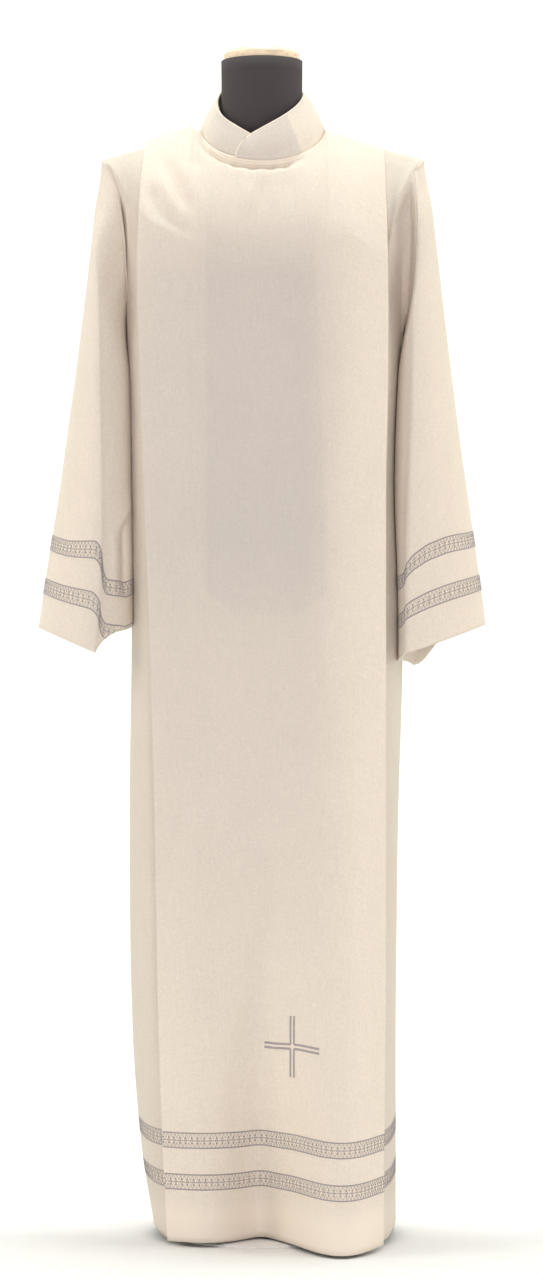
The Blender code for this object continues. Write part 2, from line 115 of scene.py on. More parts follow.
# Collar
COLLAR_INSET = 0.0008
COLLAR_FRONT_INSET = 0.0006
COLLAR_BACK_INSET = 0.0005
COLLAR_BASE_LIFT = 0.0009
# The middle of its top edge, off the middle plane
COLLAR_SHIFT_X = -0.0035
COLLAR_TOP_X = 0.0577
COLLAR_TOP_FRONT = 0.073
COLLAR_TOP_BACK = 0.064
COLLAR_V_Z = 1.4625
COLLAR_V_ANGLE = -12.0
COLLAR_LAP = 0.0021
COLLAR_OVER_END = -25.0
COLLAR_UNDER_END = 18.0
COLLAR_END_CURVE = 1.8
COLLAR_LAP_REACH = 30.0
COLLAR_LAP_FADE = 25.0
COLLAR_RISE_RATE = 0.00056
COLLAR_RISE_BEND = 0.0000008
COLLAR_RISE_END = 102.0
COLLAR_BACK_RISE = 0.008
# The right end stands a little taller beside the neck
COLLAR_CORNER_RISE = 0.005
COLLAR_CORNER_SPAN = (60.0, 95.0, 120.0, 170.0)
COLLAR_BACK_SPAN = (90.0, 175.0)
COLLAR_BACK_GAP = 0.2
COLLAR_BULGE = 0.0034

# Hem
HEM_Z = 0.0065
HEM_DROOP = 0.0020
HEM_SIDE_LIFT = 0.012
# Depths between which the hem droops, and between which it stops lifting
HEM_DROOP_Y = (0.13, 0.20)
HEM_LIFT_Y = (0.01, 0.095)

# Cross-sections of the hanging body, chest to hem. "left" and "right" are the wearer's.
BODY_COLUMNS = ("z", "half_left", "half_right", "front", "back", "fold_left", "fold_right")
BODY_ROWS = (
    (1.48, 0.205, 0.205, 0.118, 0.105, 0.158, 0.150),
    (1.38, 0.203, 0.200, 0.124, 0.105, 0.162, 0.161),
    (1.27, 0.193, 0.190, 0.130, 0.108, 0.164, 0.165),
    (1.15, 0.182, 0.180, 0.132, 0.110, 0.164, 0.161),
    (1.00, 0.177, 0.177, 0.130, 0.110, 0.161, 0.156),
    (0.80, 0.186, 0.175, 0.127, 0.110, 0.161, 0.148),
    (0.55, 0.180, 0.178, 0.122, 0.112, 0.161, 0.141),
    (0.28, 0.177, 0.174, 0.117, 0.114, 0.160, 0.136),
    (0.12, 0.177, 0.162, 0.113, 0.114, 0.158, 0.130),
    (0.00, 0.177, 0.143, 0.110, 0.112, 0.157, 0.124),
)
PANEL_BOW_X = 0.205
PANEL_BOW_POWER = 2.6
PLAN_STEP = 0.001
SIDE_TUCK = 0.013
# Depth at which a side piece turns back towards its seam, at the front and at the back
SIDE_ROUND_Y = {-1: 0.074, 1: 0.050}
# The front sides fall back below this line, from the shoulder tip to the pleat's edge
HOLLOW_LINE = ((0.2145, 1.4340), (0.1600, 1.3580))
HOLLOW_DEPTH = 0.0130
HOLLOW_TURN = 0.030
HOLLOW_LOW = (1.16, 1.26)
HOLLOW_EDGE_X = (0.128, 0.150)

# Folds that open towards the hem: where, how wide, how far out, and where they begin
FOLD_COLUMNS = ("x", "half_width", "out", "start_z", "power")
FRONT_FOLDS = (
    (0.105, 0.062, 0.105, 1.00, 2.1),
    (0.002, 0.036, -0.040, 0.80, 2.2),
    (-0.085, 0.042, 0.010, 0.90, 1.6),
)
BACK_FOLDS = (
    (-0.100, 0.048, 0.036, 1.00, 2.0),
    (-0.008, 0.040, -0.024, 0.85, 2.0),
    (0.085, 0.046, 0.030, 0.95, 1.8),
)

# Soft creases of the two panels: both ends, half width, and how far out (in is negative)
CREASE_COLUMNS = ("x0", "z0", "x1", "z1", "half_width", "out")
# Half widths after which a crease is left out, and how much it loses towards its ends
CREASE_REACH = 3.0
CREASE_END_LOSS = 0.6
FRONT_CREASES = (
    (-0.1280, 1.4300, -0.1116, 1.3960, 0.0085, -0.0053),
    (-0.1116, 1.3960, -0.1000, 1.3600, 0.0100, -0.0053),
    (-0.1090, 1.4240, -0.0860, 1.3740, 0.0110, 0.0031),
    (-0.1471, 1.3880, -0.1326, 1.3565, 0.0080, -0.0046),
    (-0.1326, 1.3565, -0.1000, 1.3310, 0.0100, -0.0053),
    (-0.1370, 1.4030, -0.1010, 1.3450, 0.0100, 0.0037),
    (-0.0963, 1.4310, -0.0789, 1.4200, 0.0060, -0.0021),
    (-0.1390, 1.3300, -0.1000, 1.2950, 0.0140, -0.0021),
    (-0.0850, 1.3300, -0.0500, 1.3000, 0.0120, -0.0016),
    (0.1113, 1.3150, 0.1646, 1.2720, 0.0180, -0.0025),
    (-0.0180, 1.3900, -0.0080, 1.3520, 0.0070, 0.0028),
    (0.0020, 1.3960, -0.0100, 1.3480, 0.0070, -0.0028),
    (0.0300, 1.4020, 0.0420, 1.3600, 0.0090, -0.0022),
    (0.1290, 1.1050, 0.1560, 1.0750, 0.0080, -0.0034),
    (0.1220, 1.0700, 0.1540, 1.0350, 0.0080, -0.0030),
    (-0.1500, 0.7660, -0.1280, 0.7660, 0.0050, -0.0014),
    (-0.1500, 0.7310, -0.1320, 0.7300, 0.0050, -0.0012),
    (-0.0230, 0.3120, -0.0430, 0.1550, 0.0120, -0.0030),
    (0.0060, 0.9600, 0.0300, 0.8900, 0.0100, -0.0012),
)
BACK_CREASES = (
    (0.1180, 1.4200, 0.0850, 1.3650, 0.0100, -0.0036),
    (-0.1180, 1.4150, -0.0820, 1.3700, 0.0100, -0.0030),
    (-0.1250, 1.1100, -0.1500, 1.0700, 0.0090, -0.0020),
    (0.0350, 0.3300, 0.0500, 0.1500, 0.0120, -0.0026),
)
# Small gathers below the front of the collar: angle from the front, depth
GATHERS = ((-38.0, -0.0020), (-24.0, -0.0042), (-9.0, -0.0048), (7.0, -0.0038),
           (20.0, -0.0048), (33.0, -0.0026))
# How far below the neckline a gather begins and ends
GATHER_START = (0.0, 0.006)
GATHER_END = (0.008, 0.022)
GATHER_HALF_ANGLE = 4.2
NECK_TROUGH = 0.0080
NECK_TROUGH_RISE = 0.0085
NECK_TROUGH_HALF = 0.0042
NECK_TROUGH_SPAN = (-72.0, -48.0, 8.0, 36.0)
# Broad, faint waves of the hanging panels: turns per metre across and down, phase, height
SWAYS = ((9.0, 0.9, 0.4, 0.0009), (15.0, -1.3, 2.1, 0.0006), (5.0, 2.2, 4.0, 0.0008))
# They begin this far above the chest line and are full this far below their beginning
SWAY_START = 0.1
SWAY_GROWTH = 0.25

# Sleeve cross-sections; x is the distance from the middle plane.
SLEEVE_COLUMNS = ("z", "outer", "ridge_x", "ridge_y", "back_x", "back_y",
                  "front_power", "tuck")
SLEEVE_ROWS = {
    "right": (
        (1.44, 0.2165, 0.2130, -0.055, 0.206, 0.058, 1.20, 0.000),
        (1.40, 0.2215, 0.2180, -0.062, 0.208, 0.063, 1.25, 0.000),
        (1.33, 0.2290, 0.2185, -0.070, 0.210, 0.066, 1.30, 0.002),
        (1.18, 0.2470, 0.2155, -0.077, 0.214, 0.068, 1.30, 0.012),
        (1.06, 0.2635, 0.2135, -0.080, 0.220, 0.068, 1.30, 0.014),
        (0.98, 0.2747, 0.2125, -0.080, 0.226, 0.068, 1.30, 0.014),
        (0.88, 0.2905, 0.2135, -0.082, 0.232, 0.068, 1.20, 0.014),
        (0.78, 0.3050, 0.2200, -0.084, 0.238, 0.066, 1.15, 0.012),
    ),
    "left": (
        (1.44, 0.2175, 0.2060, -0.060, 0.206, 0.058, 1.10, 0.000),
        (1.40, 0.2235, 0.2040, -0.068, 0.207, 0.063, 1.10, 0.000),
        (1.33, 0.2315, 0.2020, -0.072, 0.208, 0.066, 1.10, 0.002),
        (1.18, 0.2490, 0.2005, -0.078, 0.211, 0.068, 1.10, 0.012),
        (1.06, 0.2640, 0.1970, -0.082, 0.214, 0.068, 1.10, 0.014),
        (0.98, 0.2755, 0.1935, -0.084, 0.216, 0.068, 1.10, 0.012),
        (0.86, 0.2925, 0.1890, -0.086, 0.214, 0.068, 1.10, 0.010),
        (0.75, 0.3060, 0.1865, -0.088, 0.204, 0.066, 1.10, 0.006),
    ),
}
# Where the inner front of a sleeve bends to lie along the body: beyond the body's side, and depth
SLEEVE_LAP = {"right": (-0.0180, -0.072), "left": (-0.0105, -0.074)}
# How far inwards of its front ridge a sleeve has dropped back to that depth
SLEEVE_STEP = 0.009
# Cuff edge heights at the four quarters of each sleeve
CUFFS = {
    "right": {"outer": 0.812, "front": 0.778, "inner": 0.812, "back": 0.800},
    "left": {"outer": 0.816, "front": 0.777, "inner": 0.767, "back": 0.761},
}
CUFF_FRONT_POWER = 1.15
CUFF_BACK_POWER = {"right": 4.0, "left": 17.0}
# Length of the cloth that has rolled inwards below a cuff, by the angle round it in degrees,
# the radius of the roll and how far round it turns
CUFF_ROLL = {
    "right": ((78.0, 0.0), (90.0, 0.012), (97.0, 0.030), (108.0, 0.050), (120.0, 0.060),
              (140.0, 0.069), (200.0, 0.060), (262.0, 0.0)),
    "left": ((0.0, 0.0), (360.0, 0.0)),
}
ROLL_RADIUS = 0.006
ROLL_TURN = 1.95
# How much farther than elsewhere the cuff bands lie from the edge, by angle in degrees
CUFF_PULL = {
    "right": ((0.0, 1.0), (30.0, 1.0), (45.0, 1.015), (55.0, 1.045), (65.0, 1.085), (74.0, 1.125),
              (82.0, 1.155), (86.0, 1.155), (90.0, 1.115), (94.0, 1.04), (98.0, 0.99), (103.0, 0.975),
              (115.0, 1.0)),
    "left": ((0.0, 1.0), (30.0, 1.02), (55.0, 1.07), (72.0, 1.07), (84.0, 1.02), (91.0, 0.95),
             (98.0, 0.88), (180.0, 0.88), (300.0, 1.0)),
}
# Length of one degree round a sleeve of the usual width
SLEEVE_DEGREE = 0.0012
# Sleeve creases: angle round the sleeve and height at both ends, half width, how far out
SLEEVE_CREASES = {
    "right": (
        (60.0, 1.36, 75.0, 1.10, 0.010, 0.0020),
        (92.0, 1.37, 100.0, 1.27, 0.0060, -0.0045),
        (100.0, 1.36, 116.0, 1.24, 0.0070, 0.0045),
        (112.0, 1.36, 132.0, 1.25, 0.0080, -0.0055),
        (35.0, 1.30, 50.0, 0.95, 0.014, -0.0022),
        (150.0, 0.975, 127.0, 0.945, 0.0060, 0.0035),
        (136.0, 0.945, 138.0, 0.860, 0.0080, -0.0060),
        (118.0, 0.940, 120.0, 0.850, 0.0080, 0.0025),
        (240.0, 1.30, 250.0, 0.92, 0.014, -0.0040),
        (300.0, 1.25, 292.0, 0.85, 0.016, -0.0030),
    ),
    "left": (
        (28.0, 1.400, 52.0, 1.375, 0.007, -0.0040),
        (40.0, 1.30, 55.0, 0.95, 0.014, -0.0020),
        (100.0, 1.25, 96.0, 0.85, 0.010, 0.0016),
        (240.0, 1.30, 250.0, 0.92, 0.014, -0.0040),
        (300.0, 1.25, 292.0, 0.85, 0.016, -0.0030),
    ),
}

# Limbless dress form
TORSO_COLUMNS = ("z", "middle_x", "half_x", "front", "back")
TORSO_ROWS = (
    (1.5700, -0.0015, 0.0545, 0.0560, 0.0540),
    (1.5000, -0.0015, 0.0540, 0.0560, 0.0530),
    (1.4760, -0.0010, 0.0580, 0.0550, 0.0520),
    (1.4660, 0.0000, 0.0690, 0.0520, 0.0500),
    (1.4590, 0.0000, 0.0940, 0.0460, 0.0460),
    (1.4530, 0.0000, 0.1280, 0.0410, 0.0380),
    (1.4460, 0.0000, 0.1600, 0.0390, 0.0350),
    (1.4383, 0.0000, 0.1860, 0.0390, 0.0360),
    (1.4200, 0.0000, 0.1930, 0.0520, 0.0500),
    (1.3800, 0.0000, 0.1900, 0.0780, 0.0720),
    (1.3200, 0.0000, 0.1780, 0.1050, 0.0880),
    (1.2500, 0.0000, 0.1640, 0.1140, 0.0920),
    (1.1200, 0.0000, 0.1460, 0.1060, 0.0880),
    (1.0300, 0.0000, 0.1400, 0.1000, 0.0860),
    (0.9400, 0.0000, 0.1500, 0.1020, 0.0930),
    (0.8800, 0.0000, 0.1500, 0.1000, 0.0940),
    (0.8500, 0.0000, 0.1360, 0.0880, 0.0840),
    (0.8400, 0.0000, 0.1080, 0.0700, 0.0680),
)
CAP_PROFILE = ((0.0, 0.0170), (0.0306, 0.0160), (0.0460, 0.0140), (0.0510, 0.0090),
               (0.0510, 0.0), (0.0, 0.0))
POLE_PROFILE = ((0.0, 0.8173), (0.0125, 0.8173), (0.0125, 0.0), (0.0, 0.0))
FOOT_PROFILE = ((0.0, 0.0220), (0.0185, 0.0220), (0.0225, 0.0140), (0.0300, 0.0050),
                (0.1210, 0.0038), (0.1250, 0.0022), (0.1250, 0.0), (0.0, 0.0))
NECK_MIDDLE_X = -0.0015
FIT_GAP = 0.0003
# The cover keeps this much clear of the cloth, from the first of these heights to the second
UNDER_CLOTH = 0.0012
UNDER_CLOTH_Z = (1.50, 1.46)
# Rounding of the edges of the cap and the stand
SOFT_EDGE = 0.0008
SOFT_EDGE_ANGLE = 25.0

# Embroidery: thread sections are in shares of half width and height
CLOTH_HALF = 0.0004
RIBBON_SECTION = ((-1.0, -0.5), (-0.7, 0.65), (0.0, 1.0), (0.7, 0.65), (1.0, -0.5))
BAND_LINE_HALF = 0.00105
BAND_LINE_HEIGHT = 0.0006
BAND_TALL = 0.0195
MOTIF_PITCH = 0.0081
MOTIF_HALF_WIDE = 0.0022
MOTIF_HALF_TALL = 0.0021
EYELET_RISE = 0.0036
EYELET_HALF = 0.0008
EYELET_TALL = 0.0018
RUNG_PITCH = 0.0027
RUNG_HALF = 0.00022
# Where a rung starts, in motif half heights from the band's middle
RUNG_START = 1.2
THREAD_HALF = 0.00032
THREAD_HEIGHT = 0.00045
LINE_STEP = 0.0035
# How much narrower a stitch is at its top
STITCH_TOP_SHARE = 0.6
STITCHES_AT_A_TIME = 40
# Height of each band's middle above the edge of the cloth
HEM_BANDS = (0.0790, 0.1335)
CUFF_BANDS = (0.0565, 0.1150)
# The cross: its middle above the edge, its arms, and the bars that edge them
CROSS_X = 0.0390
CROSS_RISE = 0.258
CROSS_HALF_WIDE = 0.0440
CROSS_HALF_TALL = 0.0400
CROSS_BAR_OFFSET = 0.0029
CROSS_BAR_HALF = 0.00175
CROSS_BAR_HEIGHT = 0.0007
CROSS_STEP = 0.002
# Columns looked at on each side of the cross's middle
CROSS_COLUMNS = 12

# The bands that each piece carries
HOSTS = {
    "front_panel": HEM_BANDS, "back_panel": HEM_BANDS,
    "side_front_left": HEM_BANDS, "side_front_right": HEM_BANDS,
    "side_back_left": HEM_BANDS, "side_back_right": HEM_BANDS,
    "sleeve_left": CUFF_BANDS, "sleeve_right": CUFF_BANDS,
}

# Seams and pressed edges
SEAM_RADIUS = 0.0011
NECK_CORD_RADIUS = 0.0017
COLLAR_CORD_RADIUS = 0.0014
NECK_LINE_HALF = 0.0011
NECK_LINE_HEIGHT = 0.0007
# Stitched lines under the collar: how far down, and the columns from the middle that they span
NECK_LINES = ((0.0046, (-23.0, 23.0)),)
TUBE_SIDES = 8

# Painted shade where the form's flat front shows through the thin cloth: its middle and half width by
# height
SHOW_THROUGH_MIDDLE = ((1.43, -0.0125), (1.33, -0.0030), (0.84, 0.0055))
SHOW_THROUGH_HALF = ((1.43, 0.063), (1.33, 0.0720), (0.84, 0.0800))
SHOW_THROUGH_EDGE = 0.005
# Its lower end narrows by this much between these heights, and fades about the lower one
SHOW_THROUGH_LOW = (0.825, 0.865)
SHOW_THROUGH_NARROWS = 0.035
SHOW_THROUGH_FADE = (-0.006, 0.018)
# Between these heights it weakens to this share, and above these it is gone
SHOW_THROUGH_HIGH = (1.30, 1.43)
SHOW_THROUGH_TOP_SHARE = 0.45
SHOW_THROUGH_END = (1.425, 1.455)
# It shows only on the panels, which lie at least this deep, and unevenly
PANEL_DEPTHS = (0.075, 0.095)
SHOW_THROUGH_BLOTCH = (0.72, 0.56)
SHOW_THROUGH = 0.06
# Dark tone of all the painted shade on the cloth
PAINTED_SHADE_COLOUR = (0.28, 0.275, 0.35)
# How strongly a broad painted shade, partly the form showing through, darkens the cloth in front of the
# form, by height, and where it fades out
FORM_SHADE = ((1.38, 0.0), (1.27, 0.24), (0.92, 0.28), (0.78, 0.19), (0.50, 0.13), (0.20, 0.0))
FORM_SHADE_X = (0.045, 0.135)
# Painted shadow of the dark neck on the front of the collar, partly the neck showing through, up to a
# line: slope, foot x and foot z
NECK_SHADE = 0.20
NECK_SHADE_EDGE = (-0.396, 0.041, 1.467)
NECK_SHADE_X = (-0.090, -0.055)
NECK_SHADE_Y = (-0.04, 0.0)
# Colour of the side pieces, darkened as painted shade, and of the doubled hem, paler as painted light,
# as a share of the cloth's
SIDE_SHADE_SHARE = 0.88
HEM_LIGHT_SHARE = 1.10
HEM_TOP = (0.035, 0.070)
# Darkest and palest thread, and how much the slubs, clouds and grain tell
CLOTH_TONES = (0.90, 1.08)
SLUB_TONE, CLOUD_TONE, GRAIN_TONE = 0.6, 0.35, 1.1

# Ridges of the thread and ribs of the form's cover, in radians a metre
THREAD_RIDGES = (9000.0, 6000.0)
COVER_RIBS = 4200.0
# How the slubs of the cloth are drawn out: noise cells a metre along and across a thread
SLUB_CELLS = (30.0, 420.0)

# Studio: a round room of paper, and its lights
ROOM_MIDDLE_Y = -3.4
FLOOR_RADIUS = 5.0
COVE_RADIUS = 1.4
WALL_TOP = 5.0
ROOM_AROUND = 96
COVE_STEPS = 16
LIGHTS = (
    # name, setting of its power, place, aim, size, colour
    ("Overhead", "overhead_power", (0.0, 0.25, 4.0), (0.0, 0.0, 1.2), (1.8, 0.6), (0.90, 1.0, 0.93)),
    ("Front", "front_power", (0.0, -3.0, 3.0), (0.0, 0.0, 0.9), (3.2, 1.6), (1.0, 0.96, 0.97)),
    ("Left", "side_power", (3.4, -0.9, 2.7), (0.0, 0.0, 1.1), (1.6, 2.2), (1.0, 0.95, 0.84)),
    ("Right", "side_power", (-3.4, -0.9, 2.7), (0.0, 0.0, 1.1), (1.6, 2.2), (1.0, 0.95, 0.84)),
    ("Low", "low_power", (0.0, -3.2, 0.30), (0.0, 0.0, 0.15), (2.2, 0.4), (1.0, 0.95, 0.95)),
    ("Wall", "wall_power", (0.0, 1.0, 3.6), (0.0, 3.0, 1.3), (6.0, 0.8), (1.0, 1.0, 1.0)),
)

# How finely each piece is made
ARC_ROWS = 40
# Rows crowd towards the top seam
ARC_CROWD = 1.5
HANG_ROWS = 150
# Rows below the top seam over which creases, and the hollow of the front sides, grow in
RELIEF_ROWS = (2.0, 13.0)
HOLLOW_ROWS = (4.0, 18.0)
NECK_COLUMNS = 26
FLAP_COLUMNS = 4
YOKE_COLUMNS = 5
PLEAT_COLUMNS = 9
TURN_ANGLES = (20.0, 45.0, 70.0, 90.0, 110.0, 135.0, 160.0)
SHOULDER_COLUMNS = 10
ARMHOLE_COLUMNS = 30
SLEEVE_AROUND = 112
SLEEVE_DOWN = 130
COLLAR_AROUND = 96
COLLAR_UP = 10
SMALLEST_STEP = 0.00001
# Distance along the cloth over which its normal is taken
NORMAL_STEP = 0.002
# Rings from each row of the torso's table to the next
TORSO_STEPS = 4


def table_row(columns, rows, z):
    """The table's values at height z, joined by smooth cubic pieces."""
    last = len(rows) - 1
    index = 0
    while index < last - 1 and rows[index + 1][0] > z:
        index += 1
    before, upper = rows[max(index - 1, 0)], rows[index]
    lower, after = rows[index + 1], rows[min(index + 2, last)]
    height = lower[0] - upper[0]
    share = min(max((z - upper[0]) / height, 0.0), 1.0)
    values = {"z": z}
    for slot, name in enumerate(columns[1:], start=1):
        step = lower[slot] - upper[slot]
        start_slope = height * (lower[slot] - before[slot]) / (lower[0] - before[0])
        end_slope = height * (after[slot] - upper[slot]) / (after[0] - upper[0])
        bend = start_slope + end_slope - 2.0 * step
        turn = 3.0 * step - 2.0 * start_slope - end_slope
        values[name] = upper[slot] + share * (start_slope + share * (turn + share * bend))
    return values


def smooth(value, low, high):
    share = min(max((value - low) / (high - low), 0.0), 1.0)
    return share * share * (3.0 - 2.0 * share)


def steps(count, low=0.0, high=1.0):
    """count + 1 evenly spaced numbers from low to high."""
    return [low + (high - low) * index / count for index in range(count + 1)]


@lru_cache(maxsize=None)
def body(z):
    return table_row(BODY_COLUMNS, BODY_ROWS, z)


def fold_at(z, side):
    """Distance of a panel's pressed edge from the middle plane."""
    return body(z)["fold_left" if side > 0 else "fold_right"]


def half_at(z, side):
    return body(z)["half_left" if side > 0 else "half_right"]


def hem_folds(face, x, z):
    """How far the folds push the panel out at this place."""
    out = 0.0
    for row in FRONT_FOLDS if face < 0 else BACK_FOLDS:
        fold = dict(zip(FOLD_COLUMNS, row))
        grown = max((fold["start_z"] - z) / fold["start_z"], 0.0) ** fold["power"]
        away = (x - fold["x"]) / fold["half_width"]
        out += fold["out"] * grown * exp(-away * away)
    return out


def hem_height(plan):
    """The hem dips where the front swings out and lifts at the side seams."""
    near, far = HEM_LIFT_Y
    lift = smooth(plan.y, -far, -near) * (1.0 - smooth(plan.y, near, far))
    return HEM_Z - HEM_DROOP * smooth(-plan.y, *HEM_DROOP_Y) + HEM_SIDE_LIFT * lift


def panel_line(face, x, z):
    """Plan of the outer panel at height z. face is -1 for the front and 1 for the back."""
    depth = body(z)["front" if face < 0 else "back"]
    bow = (1.0 - (abs(x) / PANEL_BOW_X) ** PANEL_BOW_POWER) ** (1.0 / PANEL_BOW_POWER)
    return Vector((x, face * (depth * bow + hem_folds(face, x, z))))


def panel_plan(face, side, share, z, lift=0.0, out=0.0):
    """Panel point at a share of the way to its pressed edge, moved along normal and tangent."""
    x = side * share * fold_at(z, side)
    point = panel_line(face, x, z)
    beyond = panel_line(face, x + side * PLAN_STEP, z)
    tangent = (beyond - point).normalized()
    normal = Vector((tangent.y, -tangent.x))
    if normal.y * face < 0.0:
        normal = -normal
    return point + normal * lift + tangent * out


def shoulder_z(x):
    return NECK_SIDE_Z + (TIP_Z - NECK_SIDE_Z) * (abs(x) - NECK_X) / (TIP_X - NECK_X)


def top_edge(face, x):
    """Neckline inside NECK_X, shoulder seam outside it."""
    if abs(x) >= NECK_X:
        return Vector((x, face * SEAM_HALF_GAP, shoulder_z(x)))
    bend = sqrt(1.0 - (x / NECK_X) ** 2)
    depth = NECK_FRONT if face < 0 else NECK_BACK
    rise = -NECK_FRONT_DROP if face < 0 else NECK_BACK_RISE
    y = face * max(depth * bend, SEAM_HALF_GAP)
    return Vector((x, y, NECK_SIDE_Z + rise * bend))


def panel_top(face, side, share, lift, out):
    """Top of a panel column; the pleat's layers lie under the panel on the shoulder."""
    x = side * share * fold_at(TIP_Z, side)
    top = top_edge(face, x)
    top.z += SEAM_PRESS * lift * smooth(abs(x), NECK_X, LAYERS_DROP_X)
    top.x += side * out
    return top


def from_segment(x, z, x0, z0, x1, z1):
    """Distance from a segment, and the share along it of the nearest point."""
    dx, dz = x1 - x0, z1 - z0
    share = ((x - x0) * dx + (z - z0) * dz) / (dx * dx + dz * dz)
    share = min(max(share, 0.0), 1.0)
    return sqrt((x - x0 - share * dx) ** 2 + (z - z0 - share * dz) ** 2), share


def creased(rows, x, z):
    """Height of the creases at this place; each one is deepest in its middle."""
    out = 0.0
    for row in rows:
        crease = dict(zip(CREASE_COLUMNS, row))
        away, share = from_segment(x, z, crease["x0"], crease["z0"], crease["x1"], crease["z1"])
        away /= crease["half_width"]
        if away < CREASE_REACH:
            ends = 1.0 - CREASE_END_LOSS * (2.0 * share - 1.0) ** 4
            out += crease["out"] * exp(-away * away) * ends
    return out


def panel_relief(face, x, z):
    """Creases and faint waves of a panel and of what lies under it."""
    out = creased(FRONT_CREASES if face < 0 else BACK_CREASES, x, z)
    for across, down, phase, height in SWAYS:
        wave = sin(2.0 * pi * (across * x + down * z) + phase + face)
        out += height * wave * smooth(CHEST_Z + SWAY_START - z, 0.0, SWAY_GROWTH)
    return out


def side_relief(face, point):
    """How far a front side falls back below the shoulder."""
    if face > 0:
        return 0.0
    (tip_x, tip_z), (edge_x, edge_z) = HOLLOW_LINE
    line_z = tip_z + (edge_z - tip_z) * (tip_x - abs(point.x)) / (tip_x - edge_x)
    return (-HOLLOW_DEPTH * smooth(line_z - point.z, 0.0, HOLLOW_TURN)
            * smooth(abs(point.x), *HOLLOW_EDGE_X) * smooth(point.z, *HOLLOW_LOW))


def neck_relief(face, point):
    """The sunk line under the collar's seam and the small gathers that start from it."""
    if face > 0:
        return 0.0
    turn = radians(90.0)
    if abs(point.y) > SEAM_HALF_GAP:
        turn = np.arctan2(point.x / NECK_X, -point.y / NECK_FRONT)
    reach = sqrt((point.x / NECK_X) ** 2 + (point.y / NECK_FRONT) ** 2)
    edge_z = NECK_SIDE_Z - NECK_FRONT_DROP * max(cos(turn), 0.0)
    fall = sqrt(max(edge_z - point.z, 0.0) ** 2 + (NECK_FRONT * max(reach - 1.0, 0.0)) ** 2)
    degrees = turn * 180.0 / pi
    start, full, fades, end = NECK_TROUGH_SPAN
    fade = smooth(degrees, start, full) * (1.0 - smooth(degrees, fades, end))
    line = exp(-((fall - NECK_TROUGH_RISE) / NECK_TROUGH_HALF) ** 2)
    out = -NECK_TROUGH * line * fade
    for angle, depth in GATHERS:
        across = exp(-((degrees - angle) / GATHER_HALF_ANGLE) ** 2)
        out += depth * across * smooth(fall, *GATHER_START) * (1.0 - smooth(fall, *GATHER_END))
    return out


def relieved(face, points, hollow=False):
    """Moves each point of a column outwards, square to the column, by the relief there."""
    moved = []
    for index, point in enumerate(points):
        before = points[max(index - 1, 0)]
        after = points[min(index + 1, len(points) - 1)]
        along = after - before
        outwards = Vector((0.0, face * abs(along.z), abs(along.y)))
        if outwards.length < SMALLEST_STEP:
            outwards = Vector((0.0, face, 0.0))
        out = panel_relief(face, point.x, point.z) * smooth(index, *RELIEF_ROWS)
        out += neck_relief(face, point)
        if hollow:
            out += side_relief(face, point) * smooth(index, *HOLLOW_ROWS)
        moved.append(point + outwards.normalized() * out)
    return moved


def column(face, top, hang, flap=0.0, hollow=False):
    """Points from the top seam over the chest to the hem. hang(z) is the plan point at z.

    flap, from 0 to 1, lifts the top off the shoulder and carries it back over the seam.
    """
    places, heights, breaks = zip(*CHEST_BREAK)
    chest_z, sharp = CHEST_Z, 0.0
    if face < 0:
        chest_z = float(np.interp(top.x, places, heights))
        sharp = float(np.interp(top.x, places, breaks))
    low = min(chest_z, top.z - SHORTEST_YOKE)
    chest = hang(low)
    power = YOKE_POWER_NECK + (YOKE_POWER_TIP - YOKE_POWER_NECK) * smooth(abs(top.x), *YOKE_TURN_X)
    points = []
    for step in steps(ARC_ROWS):
        angle = 0.5 * pi * step ** ARC_CROWD
        drop = (1.0 - cos(angle)) ** power
        across = sin(angle) + (drop - sin(angle)) * sharp
        back = flap * flap * FLAP_BACK * (1.0 - across) ** 3
        rise = flap * FLAP_RISE * (1.0 - step ** ARC_CROWD)
        points.append(Vector((top.x + (chest.x - top.x) * across,
                              top.y + (chest.y - top.y) * across + back,
                              top.z + (low - top.z) * drop + rise)))
    hem_z = hem_height(hang(HEM_Z))
    for step in steps(HANG_ROWS)[1:]:
        z = low + (hem_z - low) * step
        plan = hang(z)
        points.append(Vector((plan.x, plan.y, z)))
    return relieved(face, points, hollow)


def panel_column(face, side, share, lift=0.0, out=0.0, flap=False):
    top = panel_top(face, side, share, lift, out)
    lifted = smooth(abs(top.x), FLAP_NOTCH_X, FLAP_INNER_X) if flap else 0.0
    return column(face, top, lambda z: panel_plan(face, side, share, z, lift, out), lifted)


def turn_columns(face, side, share, lift, out, away, flap=False):
    """Columns round a pressed fold, one layer deep. away is 1 outwards and -1 inwards."""
    radius = 0.5 * PLEAT_LAYER
    columns = []
    for angle in TURN_ANGLES:
        depth = lift - radius * (1.0 - cos(radians(angle)))
        reach = out + away * radius * sin(radians(angle))
        columns.append(panel_column(face, side, share, depth, reach, flap))
    return columns


def inner_share(side):
    """Where the inner fold of the pleat lies, as a share of the panel's half width."""
    return 1.0 - PLEAT_DEPTH / fold_at(CHEST_Z, side)


def panel_shares(side):
    """Shares of the flat outer panel's columns, from the middle to its pressed edge."""
    edge = fold_at(TIP_Z, side)
    shares = [NECK_X * sin(turn) / edge for turn in steps(NECK_COLUMNS, 0.0, 0.5 * pi)]
    shares += [x / edge for x in steps(FLAP_COLUMNS, FLAP_NOTCH_X, FLAP_INNER_X)]
    inner = inner_share(side)
    shares += steps(YOKE_COLUMNS, FLAP_INNER_X / edge, inner)[1:-1]
    return shares + steps(PLEAT_COLUMNS, inner, 1.0)


